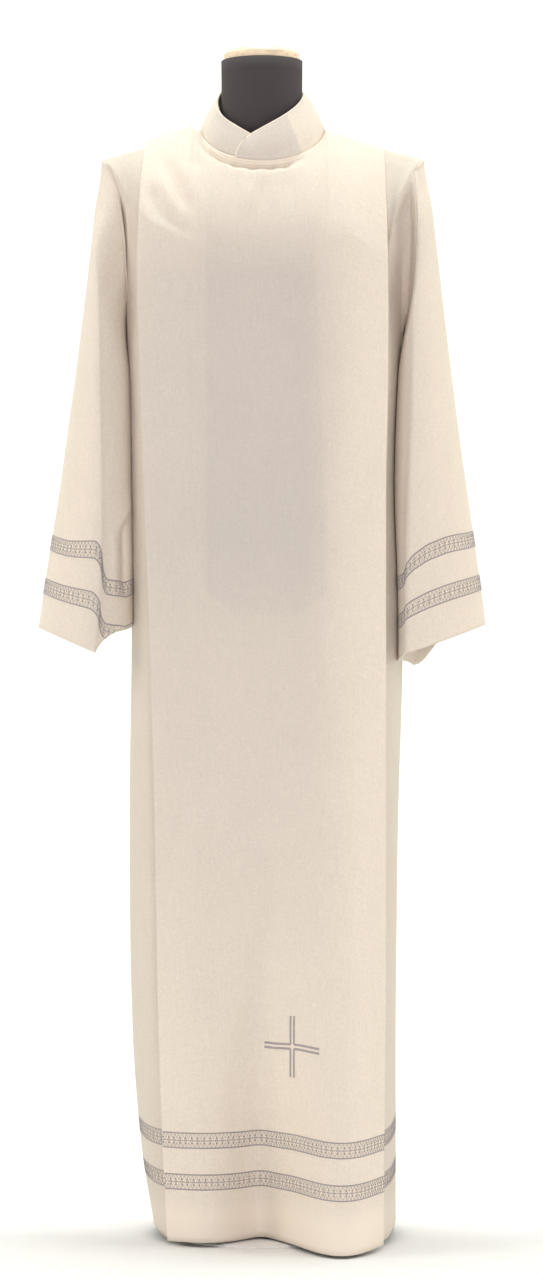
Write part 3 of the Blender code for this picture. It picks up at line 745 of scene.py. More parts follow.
def panel_columns(face):
    """Right return, right fold, the flat panel, left fold, left return."""
    half = {}
    for side in (-1, 1):
        flap = face < 0 and side < 0
        outer = [panel_column(face, side, share, 0.0, 0.0, flap) for share in panel_shares(side)]
        under = [panel_column(face, side, share, -PLEAT_LAYER, 0.0, flap)
                 for share in steps(PLEAT_COLUMNS, 1.0, inner_share(side))]
        half[side] = outer + turn_columns(face, side, 1.0, 0.0, 0.0, 1.0, flap) + under
    return half[-1][:0:-1] + half[1]


def armhole(face, side, turn):
    """Point on the armhole. turn runs from 0 at the shoulder tip to 1 at the underarm."""
    middle = 0.5 * (TIP_Z + UNDERARM_Z)
    half_height = 0.5 * (TIP_Z - UNDERARM_Z)
    angle = pi * turn
    z = middle + half_height * cos(angle)
    x = UNDERARM_X + (TIP_X - UNDERARM_X) * (z - UNDERARM_Z) / (TIP_Z - UNDERARM_Z)
    x -= float(np.interp(z, *zip(*ARMHOLE_BOW[side])))
    y = max(ARMHOLE_DEPTH[face, side] * sin(angle), SEAM_HALF_GAP)
    return Vector((side * x, face * y, z))


def side_top(face, side, share):
    """Top of a side piece's column: shoulder seam to the tip, then down the armhole."""
    if share > TIP_SHARE:
        return armhole(face, side, (share - TIP_SHARE) / (1.0 - TIP_SHARE))
    edge = fold_at(TIP_Z, side)
    inner = inner_share(side) * edge
    x = inner + (TIP_X - inner) * share / TIP_SHARE
    top = top_edge(face, side * x)
    top.z -= 2.0 * SEAM_PRESS * PLEAT_LAYER * (1.0 - smooth(x - edge, *SIDE_RISE_X))
    return top


def side_plan(face, side, share, z):
    """Plan of a side piece, from the inner fold under the panel to the side seam."""
    half = half_at(z, side)
    inner = inner_share(side)
    start = panel_plan(face, side, inner, z, -2.0 * PLEAT_LAYER, -SEAM_SLIT)
    tuck = panel_plan(face, side, 1.0, z, -SIDE_TUCK)
    bend = Vector((side * half, face * SIDE_ROUND_Y[face]))
    seam = Vector((side * half, face * SEAM_HALF_GAP))
    rest = 1.0 - share
    return (start * rest ** 3 + tuck * 3.0 * rest * rest * share
            + bend * 3.0 * rest * share * share + seam * share ** 3)


def side_columns(face, side):
    inner = inner_share(side)
    columns = [panel_column(face, side, inner, -PLEAT_LAYER, -SEAM_SLIT)]
    columns += turn_columns(face, side, inner, -PLEAT_LAYER, -SEAM_SLIT, -1.0)
    shares = steps(SHOULDER_COLUMNS, 0.0, TIP_SHARE)[:-1] + steps(ARMHOLE_COLUMNS, TIP_SHARE, 1.0)
    for share in shares:
        columns.append(column(face, side_top(face, side, share),
                              lambda z, share=share: side_plan(face, side, share, z), hollow=True))
    return columns


def signed_power(value, power):
    return abs(value) ** power * (1.0 if value >= 0.0 else -1.0)


def sleeve_plan(name, side, angle, z):
    """Plan of the sleeve: outer edge at angle 0, front ridge at a quarter turn, inner at half."""
    row = table_row(SLEEVE_COLUMNS, SLEEVE_ROWS[name], z)
    front = sin(angle) >= 0.0
    outer = cos(angle) >= 0.0
    ridge_x = row["ridge_x"] if front else row["back_x"]
    ridge_y = row["ridge_y"] if front else -row["back_y"]
    end_x = row["outer"] if outer else half_at(z, side) + SLEEVE_CLEAR
    if front and not outer:
        share = inner_front_share(angle)
        rest = 1.0 - share
        near, far = 3.0 * share * rest * rest, 3.0 * share * share * rest
        lap_x, lap_y = SLEEVE_LAP[name]
        x = (ridge_x * rest ** 3 + (ridge_x - SLEEVE_STEP) * near
             + (half_at(z, side) + lap_x) * far + end_x * share ** 3)
        return Vector((side * x, ridge_y * rest ** 3 + lap_y * (near + far)))
    power = row["front_power"] if front else 1.0
    tuck = 0.0 if outer else row["tuck"]
    x = ridge_x + (end_x - ridge_x) * abs(cos(angle)) ** power - tuck * abs(sin(2.0 * angle)) ** 3
    return Vector((side * x, ridge_y * signed_power(sin(angle), power)))


def inner_front_share(angle):
    """Share of the way from the front ridge, a quarter turn round, to the inner edge."""
    return angle / (0.5 * pi) - 1.0


def cuff_z(name, angle):
    cuff = CUFFS[name]
    across = cuff["outer"] if cos(angle) >= 0.0 else cuff["inner"]
    if sin(angle) < 0.0:
        return across + (cuff["back"] - across) * abs(sin(angle)) ** CUFF_BACK_POWER[name]
    share = abs(cos(angle)) ** CUFF_FRONT_POWER
    if cos(angle) < 0.0:
        share = 1.0 - (1.0 - inner_front_share(angle)) ** 3
    return cuff["front"] + (across - cuff["front"]) * share


def by_angle(rows, angle):
    """Value at this angle from rows of (degrees, value)."""
    return float(np.interp(angle * 180.0 / pi, *zip(*rows)))


def sleeve_crease(name, angle, z):
    """Height of the sleeve's creases; angles become lengths round a sleeve's usual radius."""
    rows = [(start * SLEEVE_DEGREE, start_z, end * SLEEVE_DEGREE, end_z, half_width, out)
            for start, start_z, end, end_z, half_width, out in SLEEVE_CREASES[name]]
    return creased(rows, angle * 180.0 / pi * SLEEVE_DEGREE, z)


def sleeve_columns(name):
    """Columns round the armhole, from the seam down to the cuff; the last one is the first."""
    side = 1 if name == "left" else -1
    columns = []
    for index in range(SLEEVE_AROUND + 1):
        angle = 2.0 * pi * (index % SLEEVE_AROUND) / SLEEVE_AROUND
        face = -1 if angle <= pi else 1
        turn = angle / pi if angle <= pi else 2.0 - angle / pi
        start = armhole(face, side, turn)
        if index % (SLEEVE_AROUND // 2) == 0:
            start.y = 0.0
        start.x += side * SLEEVE_GAP
        roll = by_angle(CUFF_ROLL[name], angle)
        radius = min(ROLL_RADIUS, roll / ROLL_TURN)
        end_z = cuff_z(name, angle) + radius
        points = []
        for step in steps(SLEEVE_DOWN):
            drop = (start.z - end_z + roll) * step
            z = max(start.z - drop, end_z)
            past = max(drop - (start.z - end_z), 0.0)
            ease = sin(0.5 * pi * min((start.z - z) / SLEEVE_EASE, 1.0))
            plan = sleeve_plan(name, side, angle, z)
            row = table_row(SLEEVE_COLUMNS, SLEEVE_ROWS[name], z)
            middle = Vector((side * 0.5 * (row["outer"] + half_at(z, side)), 0.0))
            outwards = (plan - middle).normalized()
            plan += outwards * sleeve_crease(name, angle, z)
            if past > 0.0:
                turn = min(past / radius, ROLL_TURN)
                straight = max(past - radius * ROLL_TURN, 0.0)
                z -= radius * sin(turn) + straight * cos(ROLL_TURN)
                plan -= outwards * (radius * (1.0 - cos(turn)) + straight * sin(ROLL_TURN))
            points.append(Vector((start.x + (plan.x - start.x) * ease,
                                  start.y + (plan.y - start.y) * ease, z)))
        columns.append(points)
    return columns


def collar_top_z(angle):
    """Top edge of the collar. angle is in degrees from the front, towards the wearer's left."""
    away = abs(angle - COLLAR_V_ANGLE)
    near = min(away, COLLAR_RISE_END)
    rise = COLLAR_RISE_RATE * near + COLLAR_RISE_BEND * near * near
    start, full, fades, end = COLLAR_CORNER_SPAN
    corner = smooth(-angle, start, full) * (1.0 - smooth(-angle, fades, end))
    return (COLLAR_V_Z + rise + COLLAR_BACK_RISE * smooth(away, *COLLAR_BACK_SPAN)
            + COLLAR_CORNER_RISE * corner)


def collar_point(angle, rise, lap):
    """Point of the collar; rise runs from 0 on the neckline to 1 at the top edge."""
    turn = radians(angle)
    front = cos(turn) >= 0.0
    base_y = NECK_FRONT - COLLAR_FRONT_INSET if front else NECK_BACK - COLLAR_BACK_INSET
    top_y = COLLAR_TOP_FRONT if front else COLLAR_TOP_BACK
    dip = -NECK_FRONT_DROP if front else NECK_BACK_RISE
    base = Vector(((NECK_X - COLLAR_INSET) * sin(turn), -base_y * cos(turn),
                   NECK_SIDE_Z + dip * abs(cos(turn)) + COLLAR_BASE_LIFT))
    top = Vector((COLLAR_SHIFT_X + COLLAR_TOP_X * sin(turn), -top_y * cos(turn),
                  collar_top_z(angle)))
    point = base.lerp(top, rise)
    away = Vector((sin(turn), -cos(turn), 0.0))
    return point + away * (lap + COLLAR_BULGE * sin(pi * rise))


def collar_end(name, level):
    """Angle of the collar end's front edge; the one on top has a curved edge."""
    if name == "right":
        return COLLAR_UNDER_END
    return COLLAR_OVER_END + (COLLAR_V_ANGLE - COLLAR_OVER_END) * level ** COLLAR_END_CURVE


def collar_lap(name, angle):
    """How far this end stands off the neckline where the two ends overlap."""
    if name == "left":
        return COLLAR_LAP * smooth(COLLAR_UNDER_END + COLLAR_LAP_REACH - angle, 0.0, COLLAR_LAP_FADE)
    return -COLLAR_LAP * smooth(angle - COLLAR_OVER_END + COLLAR_LAP_REACH, 0.0, COLLAR_LAP_FADE)


def collar_columns(name):
    """One end of the collar, from the centre back round to its front edge, top row first."""
    start = (180.0 - COLLAR_BACK_GAP) * (1 if name == "left" else -1)
    columns = []
    for share in steps(COLLAR_AROUND):
        points = []
        for level in steps(COLLAR_UP, 1.0, 0.0):
            angle = start + (collar_end(name, level) - start) * share
            points.append(collar_point(angle, level, collar_lap(name, angle)))
        columns.append(points)
    return columns


class Cut:
    """One cut piece as its fine columns, with what sewing on it needs to know."""

    def __init__(self, columns, facing, pull=None):
        self.points = np.array(columns, float)
        self.facing = facing
        self.pull = pull or [1.0] * len(columns)
        lengths = np.linalg.norm(np.diff(self.points, axis=1), axis=2)
        self.drops = np.hstack((np.zeros((len(columns), 1)), np.cumsum(lengths, axis=1)))
        middle = self.points[:, self.points.shape[1] // 2]
        self.across = np.append(0.0, np.cumsum(np.linalg.norm(np.diff(middle, axis=0), axis=1)))

    def on_column(self, index, rise, from_top):
        drops = self.drops[index]
        drop = rise if from_top else drops[-1] - rise * self.pull[index]
        return np.array([np.interp(drop, drops, self.points[index, :, axis]) for axis in range(3)])

    def spot(self, column, rise, from_top=False):
        """Point at a column, which may be a fraction, this far from the piece's edge."""
        low = min(int(max(column, 0.0)), len(self.points) - 2)
        share = column - low
        here = self.on_column(low, rise, from_top)
        return Vector(here + (self.on_column(low + 1, rise, from_top) - here) * share)

    def normal(self, column, rise, from_top=False):
        up = -1.0 if from_top else 1.0
        across = self.spot(column + 0.5, rise, from_top) - self.spot(column - 0.5, rise, from_top)
        along = (self.spot(column, rise + NORMAL_STEP, from_top)
                 - self.spot(column, rise - NORMAL_STEP, from_top))
        return across.cross(along * up).normalized() * self.facing

    def ruler(self, first, last, rise):
        """Columns from first to last, and how far along the cloth each one lies at this rise."""
        places = np.linspace(first, last, int(2 * (last - first)) + 1)
        spots = np.array([self.spot(place, rise) for place in places])
        lengths = np.append(0.0, np.cumsum(np.linalg.norm(np.diff(spots, axis=0), axis=1)))
        return places, lengths


@lru_cache(maxsize=None)
def cut_piece(name):
    """The fine form of a cloth node."""
    part, _, side_name = name.rpartition("_")
    side = 1 if side_name == "left" else -1
    if name == "front_panel":
        return Cut(panel_columns(-1), 1.0)
    if name == "back_panel":
        return Cut(panel_columns(1), -1.0)
    if part == "sleeve":
        pull = [by_angle(CUFF_PULL[side_name], 2.0 * pi * (index % SLEEVE_AROUND) / SLEEVE_AROUND)
                for index in range(SLEEVE_AROUND + 1)]
        return Cut(sleeve_columns(side_name), -side, pull)
    if part == "collar":
        return Cut(collar_columns(side_name), side)
    face = -1 if part == "side_front" else 1
    return Cut(side_columns(face, side), -face * side)


def new_object(name, shape, material):
    """A smooth object of the shape, which is used up."""
    mesh = bpy.data.meshes.new(name)
    shape.to_mesh(mesh)
    shape.free()
    mesh.shade_smooth()
    mesh.materials.append(material)
    made = bpy.data.objects.new(name, mesh)
    bpy.context.scene.collection.objects.link(made)
    return made


def finish_shape(name, shape, material):
    """Turns the shape into a piece that rides with the part."""
    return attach(new_object(name, shape, material), "root")


def grid_shape(points, lengths_across, lengths_along):
    """A grid laid over points[column][row], with those lengths in metres as its UV map."""
    shape = bmesh.new()
    wide, tall = len(points), len(points[0])
    bmesh.ops.create_grid(shape, x_segments=wide - 1, y_segments=tall - 1, size=1.0)
    layer = shape.loops.layers.uv.new("Flat")
    places = {}
    for vert in shape.verts:
        places[vert] = (round((vert.co.x + 1.0) * 0.5 * (wide - 1)),
                        round((1.0 - vert.co.y) * 0.5 * (tall - 1)))
    for face in shape.faces:
        for loop in face.loops:
            column_index, row = places[loop.vert]
            loop[layer].uv = (lengths_across[column_index], lengths_along[column_index][row])
    for vert, (column_index, row) in places.items():
        vert.co = points[column_index][row]
    return shape


def cloth_sheet(name, cut, material, thickness, closed=False):
    """The cloth of one cut piece, in place of its solid."""
    shape = grid_shape(cut.points, cut.across, cut.drops)
    if closed:
        bmesh.ops.remove_doubles(shape, verts=shape.verts, dist=SMALLEST_STEP)
    if cut.facing > 0.0:
        bmesh.ops.reverse_faces(shape, faces=shape.faces)
    piece = finish_shape(name, shape, material)
    solid = piece.modifiers.new("Cloth", "SOLIDIFY")
    solid.thickness = thickness
    solid.offset = 0.0
    return piece


def sweep(shape, rings, lengths):
    """Adds a closed bar to the shape through rings of points, its ends filled."""
    wide = len(rings[0])
    around = [index / wide for index in range(wide + 1)]
    closed_rings = [list(ring) + [ring[0]] for ring in rings]
    bar = grid_shape(closed_rings, lengths, [around] * len(rings))
    bmesh.ops.remove_doubles(bar, verts=bar.verts, dist=SMALLEST_STEP)
    open_edges = [edge for edge in bar.edges if edge.is_boundary]
    bmesh.ops.holes_fill(bar, edges=open_edges, sides=wide)
    bmesh.ops.recalc_face_normals(bar, faces=bar.faces)
    add_shape(shape, bar)


def run_of(points):
    steps_between = [(after - before).length for before, after in zip(points, points[1:])]
    return [0.0] + list(np.cumsum(steps_between))


def ribbon(shape, cut, path, half_width, height, from_top=False):
    """A low rounded bar of thread sewn on the cloth along path, a list of (column, rise)."""
    spots = [cut.spot(column_at, rise, from_top) for column_at, rise in path]
    rings = []
    for index, (column_at, rise) in enumerate(path):
        before = spots[max(index - 1, 0)]
        after = spots[min(index + 1, len(spots) - 1)]
        normal = cut.normal(column_at, rise, from_top)
        across = normal.cross(after - before).normalized()
        rings.append([spots[index] + across * (half_width * wide)
                      + normal * (CLOTH_HALF + height * high) for wide, high in RIBBON_SECTION])
    sweep(shape, rings, run_of(spots))


def stitches(shape, cut, rows):
    """Straight threads lying on the cloth: start and end as (column, rise), half width, height.

    They are made a few at a time, because a large bmesh is slow to add to.
    """
    for first in range(0, len(rows), STITCHES_AT_A_TIME):
        few = bmesh.new()
        for start, end, half_width, height in rows[first:first + STITCHES_AT_A_TIME]:
            ends = [cut.spot(*start), cut.spot(*end)]
            normal = cut.normal(*start)
            across = normal.cross(ends[1] - ends[0]).normalized() * half_width
            for vert in bmesh.ops.create_cube(few, size=2.0)["verts"]:
                at_end = 1 if vert.co.x > 0.0 else 0
                wide = 1.0 if vert.co.y > 0.0 else -1.0
                low = vert.co.z < 0.0
                high = -CLOTH_HALF if low else height
                vert.co = (ends[at_end] + across * (wide if low else STITCH_TOP_SHARE * wide)
                           + normal * (CLOTH_HALF + high))
        bmesh.ops.recalc_face_normals(few, faces=few.faces)
        add_shape(shape, few)


def add_shape(shape, other):
    """Moves the other shape into this one."""
    mesh = bpy.data.meshes.new("part")
    other.to_mesh(mesh)
    other.free()
    shape.from_mesh(mesh)
    bpy.data.meshes.remove(mesh)


def tube(shape, places, radius):
    """A closed round bar through the places."""
    points = [Vector(place) for place in places]
    rings = []
    for index, point in enumerate(points):
        along = points[min(index + 1, len(points) - 1)] - points[max(index - 1, 0)]
        # A direction that the bar does not run along
        level = abs(along.normalized().z) < 0.7
        across = along.cross(Vector((0.3, 0.5, 1.0) if level else (1.0, 0.4, 0.0))).normalized()
        up = along.cross(across).normalized()
        turns = [2.0 * pi * turn / TUBE_SIDES for turn in range(TUBE_SIDES)]
        rings.append([point + (across * cos(turn) + up * sin(turn)) * radius for turn in turns])
    sweep(shape, rings, run_of(points))


def shown_columns(name):
    """First and last column of the part of a piece that shows at its lower edge."""
    last = len(cut_piece(name).points) - 1
    hidden = PLEAT_COLUMNS + 1
    if name.endswith("panel"):
        return hidden, last - hidden
    if name.startswith("side"):
        return len(TURN_ANGLES) + 1, last
    return 0, last


def band(threads, eyelets, cut, first, last, middle):
    """One openwork band whose middle line lies this far above the edge."""
    places, lengths = cut.ruler(first, last, middle)

    def column_at(length):
        return float(np.interp(length, lengths, places))

    total = lengths[-1]
    line_count = ceil(total / LINE_STEP)
    for rise in (middle - 0.5 * BAND_TALL, middle + 0.5 * BAND_TALL):
        path = [(column_at(total * share), rise) for share in steps(line_count)]
        ribbon(threads, cut, path, BAND_LINE_HALF, BAND_LINE_HEIGHT)
    path = [(column_at(total * share), middle) for share in steps(line_count)]
    ribbon(threads, cut, path, 0.5 * BAND_LINE_HALF, 0.5 * BAND_LINE_HEIGHT)
    motif_count = max(round(total / MOTIF_PITCH), 1)
    pitch = total / motif_count
    thread_rows = []
    eyelet_rows = []
    for index in range(motif_count):
        centre = (index + 0.5) * pitch
        corners = ((centre - MOTIF_HALF_WIDE, middle), (centre, middle + MOTIF_HALF_TALL),
                   (centre + MOTIF_HALF_WIDE, middle), (centre, middle - MOTIF_HALF_TALL))
        for start, end in zip(corners, corners[1:] + corners[:1]):
            thread_rows.append(((column_at(start[0]), start[1]), (column_at(end[0]), end[1]),
                                THREAD_HALF, THREAD_HEIGHT))
        for side in (-1.0, 1.0):
            rise = middle + side * EYELET_RISE
            eyelet_rows.append(((column_at(centre), rise - 0.5 * EYELET_TALL),
                                (column_at(centre), rise + 0.5 * EYELET_TALL),
                                EYELET_HALF, 0.5 * THREAD_HEIGHT))
    rung_count = max(round(total / RUNG_PITCH), 1)
    rung = total / rung_count
    for index in range(rung_count):
        lean = 0.5 * rung * (1.0 if index % 2 else -1.0)
        centre = (index + 0.5) * rung
        for side in (-1.0, 1.0):
            low = middle + side * RUNG_START * MOTIF_HALF_TALL
            high = middle + side * (0.5 * BAND_TALL - BAND_LINE_HALF)
            thread_rows.append(((column_at(centre - lean), low), (column_at(centre + lean), high),
                                RUNG_HALF, THREAD_HEIGHT))
    stitches(threads, cut, thread_rows)
    stitches(eyelets, cut, eyelet_rows)


def cross(threads, cut):
    """Four corner bars that leave an open line along both arms of the cross."""
    middle_column = int(np.argmin([abs(cut.spot(index, CROSS_RISE).x - CROSS_X)
                                   for index in range(*shown_columns("front_panel"))]))
    middle_column += shown_columns("front_panel")[0]
    places, lengths = cut.ruler(middle_column - CROSS_COLUMNS, middle_column + CROSS_COLUMNS,
                                CROSS_RISE)
    centre = float(np.interp(middle_column, places, lengths))

    def place(across, rise):
        return float(np.interp(centre + across, lengths, places)), CROSS_RISE + rise

    for side in (-1.0, 1.0):
        for up in (-1.0, 1.0):
            inner = CROSS_BAR_OFFSET
            tall = steps(ceil(CROSS_HALF_TALL / CROSS_STEP), CROSS_HALF_TALL, inner)
            wide = steps(ceil(CROSS_HALF_WIDE / CROSS_STEP), inner, CROSS_HALF_WIDE)
            upright = [place(side * inner, up * rise) for rise in tall]
            level = [place(side * across, up * inner) for across in wide]
            ribbon(threads, cut, upright, CROSS_BAR_HALF, CROSS_BAR_HEIGHT)
            ribbon(threads, cut, level, CROSS_BAR_HALF, CROSS_BAR_HEIGHT)


class Value:
    """A shader number that can be written into sums."""

    def __init__(self, finish, socket):
        self.finish = finish
        self.socket = socket

    def math(self, operation, first, second=None):
        values = (first,) if second is None else (first, second)
        return self.finish.node("ShaderNodeMath", {"operation": operation}, dict(enumerate(values)))

    def __add__(self, other):
        return self.math("ADD", self, other)

    def __radd__(self, other):
        return self.math("ADD", other, self)

    def __sub__(self, other):
        return self.math("SUBTRACT", self, other)

    def __rsub__(self, other):
        return self.math("SUBTRACT", other, self)

    def __mul__(self, other):
        return self.math("MULTIPLY", self, other)

    def __rmul__(self, other):
        return self.math("MULTIPLY", other, self)

    def sine(self):
        return self.math("SINE", self)

    def size(self):
        return self.math("ABSOLUTE", self)


class Finish:
    """A material with its nodes."""

    def __init__(self, name, colour, **sockets):
        self.material = bpy.data.materials.new(name)
        self.material.use_nodes = True
        self.material.diffuse_color = (*colour, 1.0)
        self.tree = self.material.node_tree
        self.shader = self.tree.nodes["Principled BSDF"]
        self.shader.inputs["Base Color"].default_value = (*colour, 1.0)
        for socket, value in sockets.items():
            self.shader.inputs[socket.replace("_", " ")].default_value = value

    def node(self, kind, settings, sockets, output=0):
        """Adds a node: its settings first, then the values or links of its sockets."""
        node = self.tree.nodes.new(kind)
        for name, value in settings.items():
            setattr(node, name, value)
        for name, value in sockets.items():
            if isinstance(value, Value):
                self.tree.links.new(value.socket, node.inputs[name])
            else:
                node.inputs[name].default_value = value
        return Value(self, node.outputs[output])

    def place(self):
        """Object coordinates, which are metres in the part's frame."""
        return self.node("ShaderNodeTexCoord", {}, {}, "Object")

    def flat(self):
        """Metres across and down the flat cloth."""
        return self.node("ShaderNodeUVMap", {"uv_map": "Flat"}, {})

    def split(self, vector):
        node = self.tree.nodes.new("ShaderNodeSeparateXYZ")
        self.tree.links.new(vector.socket, node.inputs[0])
        return [Value(self, output) for output in node.outputs]

    def stretched(self, vector, scale):
        return self.node("ShaderNodeVectorMath", {"operation": "MULTIPLY"}, {0: vector, 1: scale})

    def noise(self, vector, scale, detail=2.0):
        return self.node("ShaderNodeTexNoise", {}, {"Vector": vector, "Scale": scale, "Detail": detail})

    def between(self, value, low, high):
        """0 below low and 1 above high, smoothly."""
        return self.node("ShaderNodeMapRange", {"interpolation_type": "SMOOTHSTEP"},
                         {"Value": value, "From Min": low, "From Max": high})

    def along(self, value, rows):
        """Straight lines between rows of (value, result), their values falling."""
        (first, start), *rest = rows
        made = start
        for value_here, result in rest:
            part = self.node("ShaderNodeMapRange", {"clamp": True},
                             {"Value": value, "From Min": first, "From Max": value_here,
                              "To Min": 0.0, "To Max": result - start})
            made = part + made
            first, start = value_here, result
        return made

    def mixed(self, share, first, second):
        node = self.tree.nodes.new("ShaderNodeMix")
        node.data_type = "RGBA"
        for index, value in ((0, share), (6, first), (7, second)):
            if isinstance(value, Value):
                self.tree.links.new(value.socket, node.inputs[index])
            else:
                node.inputs[index].default_value = (*value, 1.0) if index else value
        return Value(self, node.outputs[2])

    def colour(self, value):
        self.tree.links.new(value.socket, self.shader.inputs["Base Color"])

    def rough(self, value):
        self.tree.links.new(value.socket, self.shader.inputs["Roughness"])

    def bump(self, height, strength, distance):
        node = self.tree.nodes.new("ShaderNodeBump")
        node.inputs["Strength"].default_value = strength
        node.inputs["Distance"].default_value = distance
        self.tree.links.new(height.socket, node.inputs["Height"])
        self.tree.links.new(node.outputs["Normal"], self.shader.inputs["Normal"])


def toned(colour, share):
    return tuple(channel * share for channel in colour)


def paler(colour, share):
    return tuple(min(channel, 1.0) for channel in toned(colour, share))


def cached(name, make):
    """The material of this name, made the first time that it is asked for."""
    return bpy.data.materials.get(name) or make(name)


def cloth_finish(name, share=1.0, neck_shadow=False):
    """Fine plain weave with slubs, with painted shade as a faint darker field where the form behind it
    shows through, a broader painted shade in front of the form, the painted shadow of the neck on the
    collar and painted light on the hem.
    """
    settings = bpy.context.scene.alb_cloth
    colour = toned(settings.colour, share)
    finish = Finish(name, colour, Roughness=0.82, Sheen_Weight=0.12, Sheen_Roughness=0.5,
                    Specular_IOR_Level=0.25)
    flat = finish.flat()
    across, down, _ = finish.split(flat)
    turns = 2.0 * pi / settings.weave_pitch
    weave = (across * turns).sine() * (down * turns).sine()
    slub_across = finish.noise(finish.stretched(flat, (*SLUB_CELLS, 1.0)), 1.0, 4.0)
    slub_down = finish.noise(finish.stretched(flat, (*SLUB_CELLS[::-1], 1.0)), 1.0, 4.0)
    place = finish.place()
    cloud = finish.noise(place, 9.0, 3.0)
    x, y, z = finish.split(place)
    # Painted shade: a faint darker field where the form shows through the cloth
    away = (x - finish.along(z, SHOW_THROUGH_MIDDLE)).size()
    on_panel = finish.between(y.size(), *PANEL_DEPTHS)
    low = SHOW_THROUGH_LOW[0]
    half = (finish.along(z, SHOW_THROUGH_HALF)
            - SHOW_THROUGH_NARROWS * (1.0 - finish.between(z, *SHOW_THROUGH_LOW)))
    field = finish.between(half - away, -SHOW_THROUGH_EDGE, SHOW_THROUGH_EDGE)
    field = field * finish.between(z, *(low + step for step in SHOW_THROUGH_FADE))
    field = field * (1.0 - (1.0 - SHOW_THROUGH_TOP_SHARE) * finish.between(z, *SHOW_THROUGH_HIGH))
    field = field * (1.0 - finish.between(z, *SHOW_THROUGH_END)) * on_panel
    least, more = SHOW_THROUGH_BLOTCH
    field = field * (least + more * finish.noise(place, 22.0, 3.0))
    # Painted shade: a broad darker tone on the panels in front of the form
    painted_shade = finish.along(z, FORM_SHADE) * (1.0 - finish.between(x, *FORM_SHADE_X)) * on_panel
    # On the collar, the painted shadow of the neck takes the place of the broad shade
    if neck_shadow:
        (slope, foot_x, foot_z), soft = NECK_SHADE_EDGE, 0.5 * SHOW_THROUGH_EDGE
        edge = x - slope * (z - foot_z)
        painted_shade = ((1.0 - finish.between(edge, foot_x - soft, foot_x + soft)) * NECK_SHADE
                     * finish.between(x, *NECK_SHADE_X) * (1.0 - finish.between(y, *NECK_SHADE_Y)))
    grain = finish.noise(place, 360.0, 2.0)
    speckle = ((slub_across + slub_down - 1.0) * SLUB_TONE + (cloud - 0.5) * CLOUD_TONE
               + (grain - 0.5) * GRAIN_TONE)
    tone = finish.mixed(0.5 + speckle, toned(colour, CLOTH_TONES[0]), paler(colour, CLOTH_TONES[1]))
    # The painted shades mix the cloth towards a dark tone
    tone = finish.mixed(field * SHOW_THROUGH + painted_shade, tone, PAINTED_SHADE_COLOUR)
    # Painted light: the lowest cloth, the doubled hem, is painted paler, as lit from the floor
    tone = finish.mixed(finish.between(z, *HEM_TOP), toned(colour, HEM_LIGHT_SHARE), tone)
    finish.colour(tone)
    finish.rough(0.76 + 0.12 * cloud)
    finish.bump(0.4 * weave + slub_across + slub_down, 0.35, 0.00035)
    return finish.material


def edge_highlight_finish(name):
    """Cloth turned over a hard edge, painted a little paler than the flat of it as a painted highlight.
    """
    # Painted highlight: the edge is paler than the cloth
    colour = paler(bpy.context.scene.alb_cloth.colour, 1.10)
    finish = Finish(name, colour, Sheen_Weight=0.2, Specular_IOR_Level=0.3)
    edge_mottle = finish.noise(finish.place(), 120.0, 3.0)
    finish.colour(finish.mixed(edge_mottle, toned(colour, 0.95), paler(colour, 1.03)))
    finish.rough(0.70 + 0.15 * edge_mottle)
    finish.bump(edge_mottle, 0.2, 0.0002)
    return finish.material


def thread_finish(name, colour, roughness):
    """Twisted thread: fine slanted ridges along its length."""
    finish = Finish(name, colour, Roughness=roughness, Sheen_Weight=0.25, Specular_IOR_Level=0.4)
    place = finish.place()
    x, y, z = finish.split(place)
    ridges = ((x + y) * THREAD_RIDGES[0] + z * THREAD_RIDGES[1]).sine()
    tint = finish.noise(place, 260.0)
    finish.colour(finish.mixed(tint, toned(colour, 0.82), paler(colour, 1.15)))
    finish.rough(roughness - 0.1 + 0.2 * tint)
    finish.bump(ridges, 0.4, 0.0001)
    return finish.material


def form_finish(name):
    """Matt jersey with fine ribs."""
    colour = tuple(bpy.context.scene.alb_form.cover_colour)
    finish = Finish(name, colour, Roughness=0.9, Sheen_Weight=0.25, Sheen_Roughness=0.4)
    place = finish.place()
    x, y, z = finish.split(place)
    ribs = (z * COVER_RIBS).sine() * ((x + y) * COVER_RIBS).sine()
    fuzz = finish.noise(place, 900.0, 3.0)
    tint = finish.noise(place, 30.0)
    finish.colour(finish.mixed(tint, toned(colour, 0.85), toned(colour, 1.2)))
    finish.rough(0.85 + 0.12 * fuzz)
    finish.bump(ribs + fuzz, 0.3, 0.0003)
    return finish.material


def wood_finish(name):
    """Pale turned wood, its grain in long wavy bands."""
    colour = tuple(bpy.context.scene.alb_form.wood_colour)
    finish = Finish(name, colour, Roughness=0.5, Coat_Weight=0.12, Coat_Roughness=0.3)
    place = finish.place()
    grain = finish.noise(finish.stretched(place, (28.0, 220.0, 300.0)), 1.0, 6.0)
    fine = finish.noise(finish.stretched(place, (90.0, 1400.0, 1400.0)), 1.0, 4.0)
    finish.colour(finish.mixed(finish.between(grain * 0.75 + fine * 0.25, 0.36, 0.64),
                               toned(colour, 0.82), toned(colour, 1.15)))
    finish.rough(0.42 + 0.2 * fine)
    finish.bump(fine, 0.2, 0.0003)
    return finish.material


def powder_finish(name):
    """Pale powder coat with a fine orange peel and a little floor dust."""
    colour = tuple(bpy.context.scene.alb_form.foot_colour)
    finish = Finish(name, colour, Coat_Weight=0.08)
    place = finish.place()
    peel = finish.noise(place, 700.0, 2.0)
    dust = finish.noise(place, 25.0, 4.0)
    finish.colour(finish.mixed(finish.between(dust, 0.5, 0.8), colour, toned(colour, 0.93)))
    finish.rough(0.42 + 0.2 * dust)
    finish.bump(peel, 0.15, 0.0002)
    return finish.material


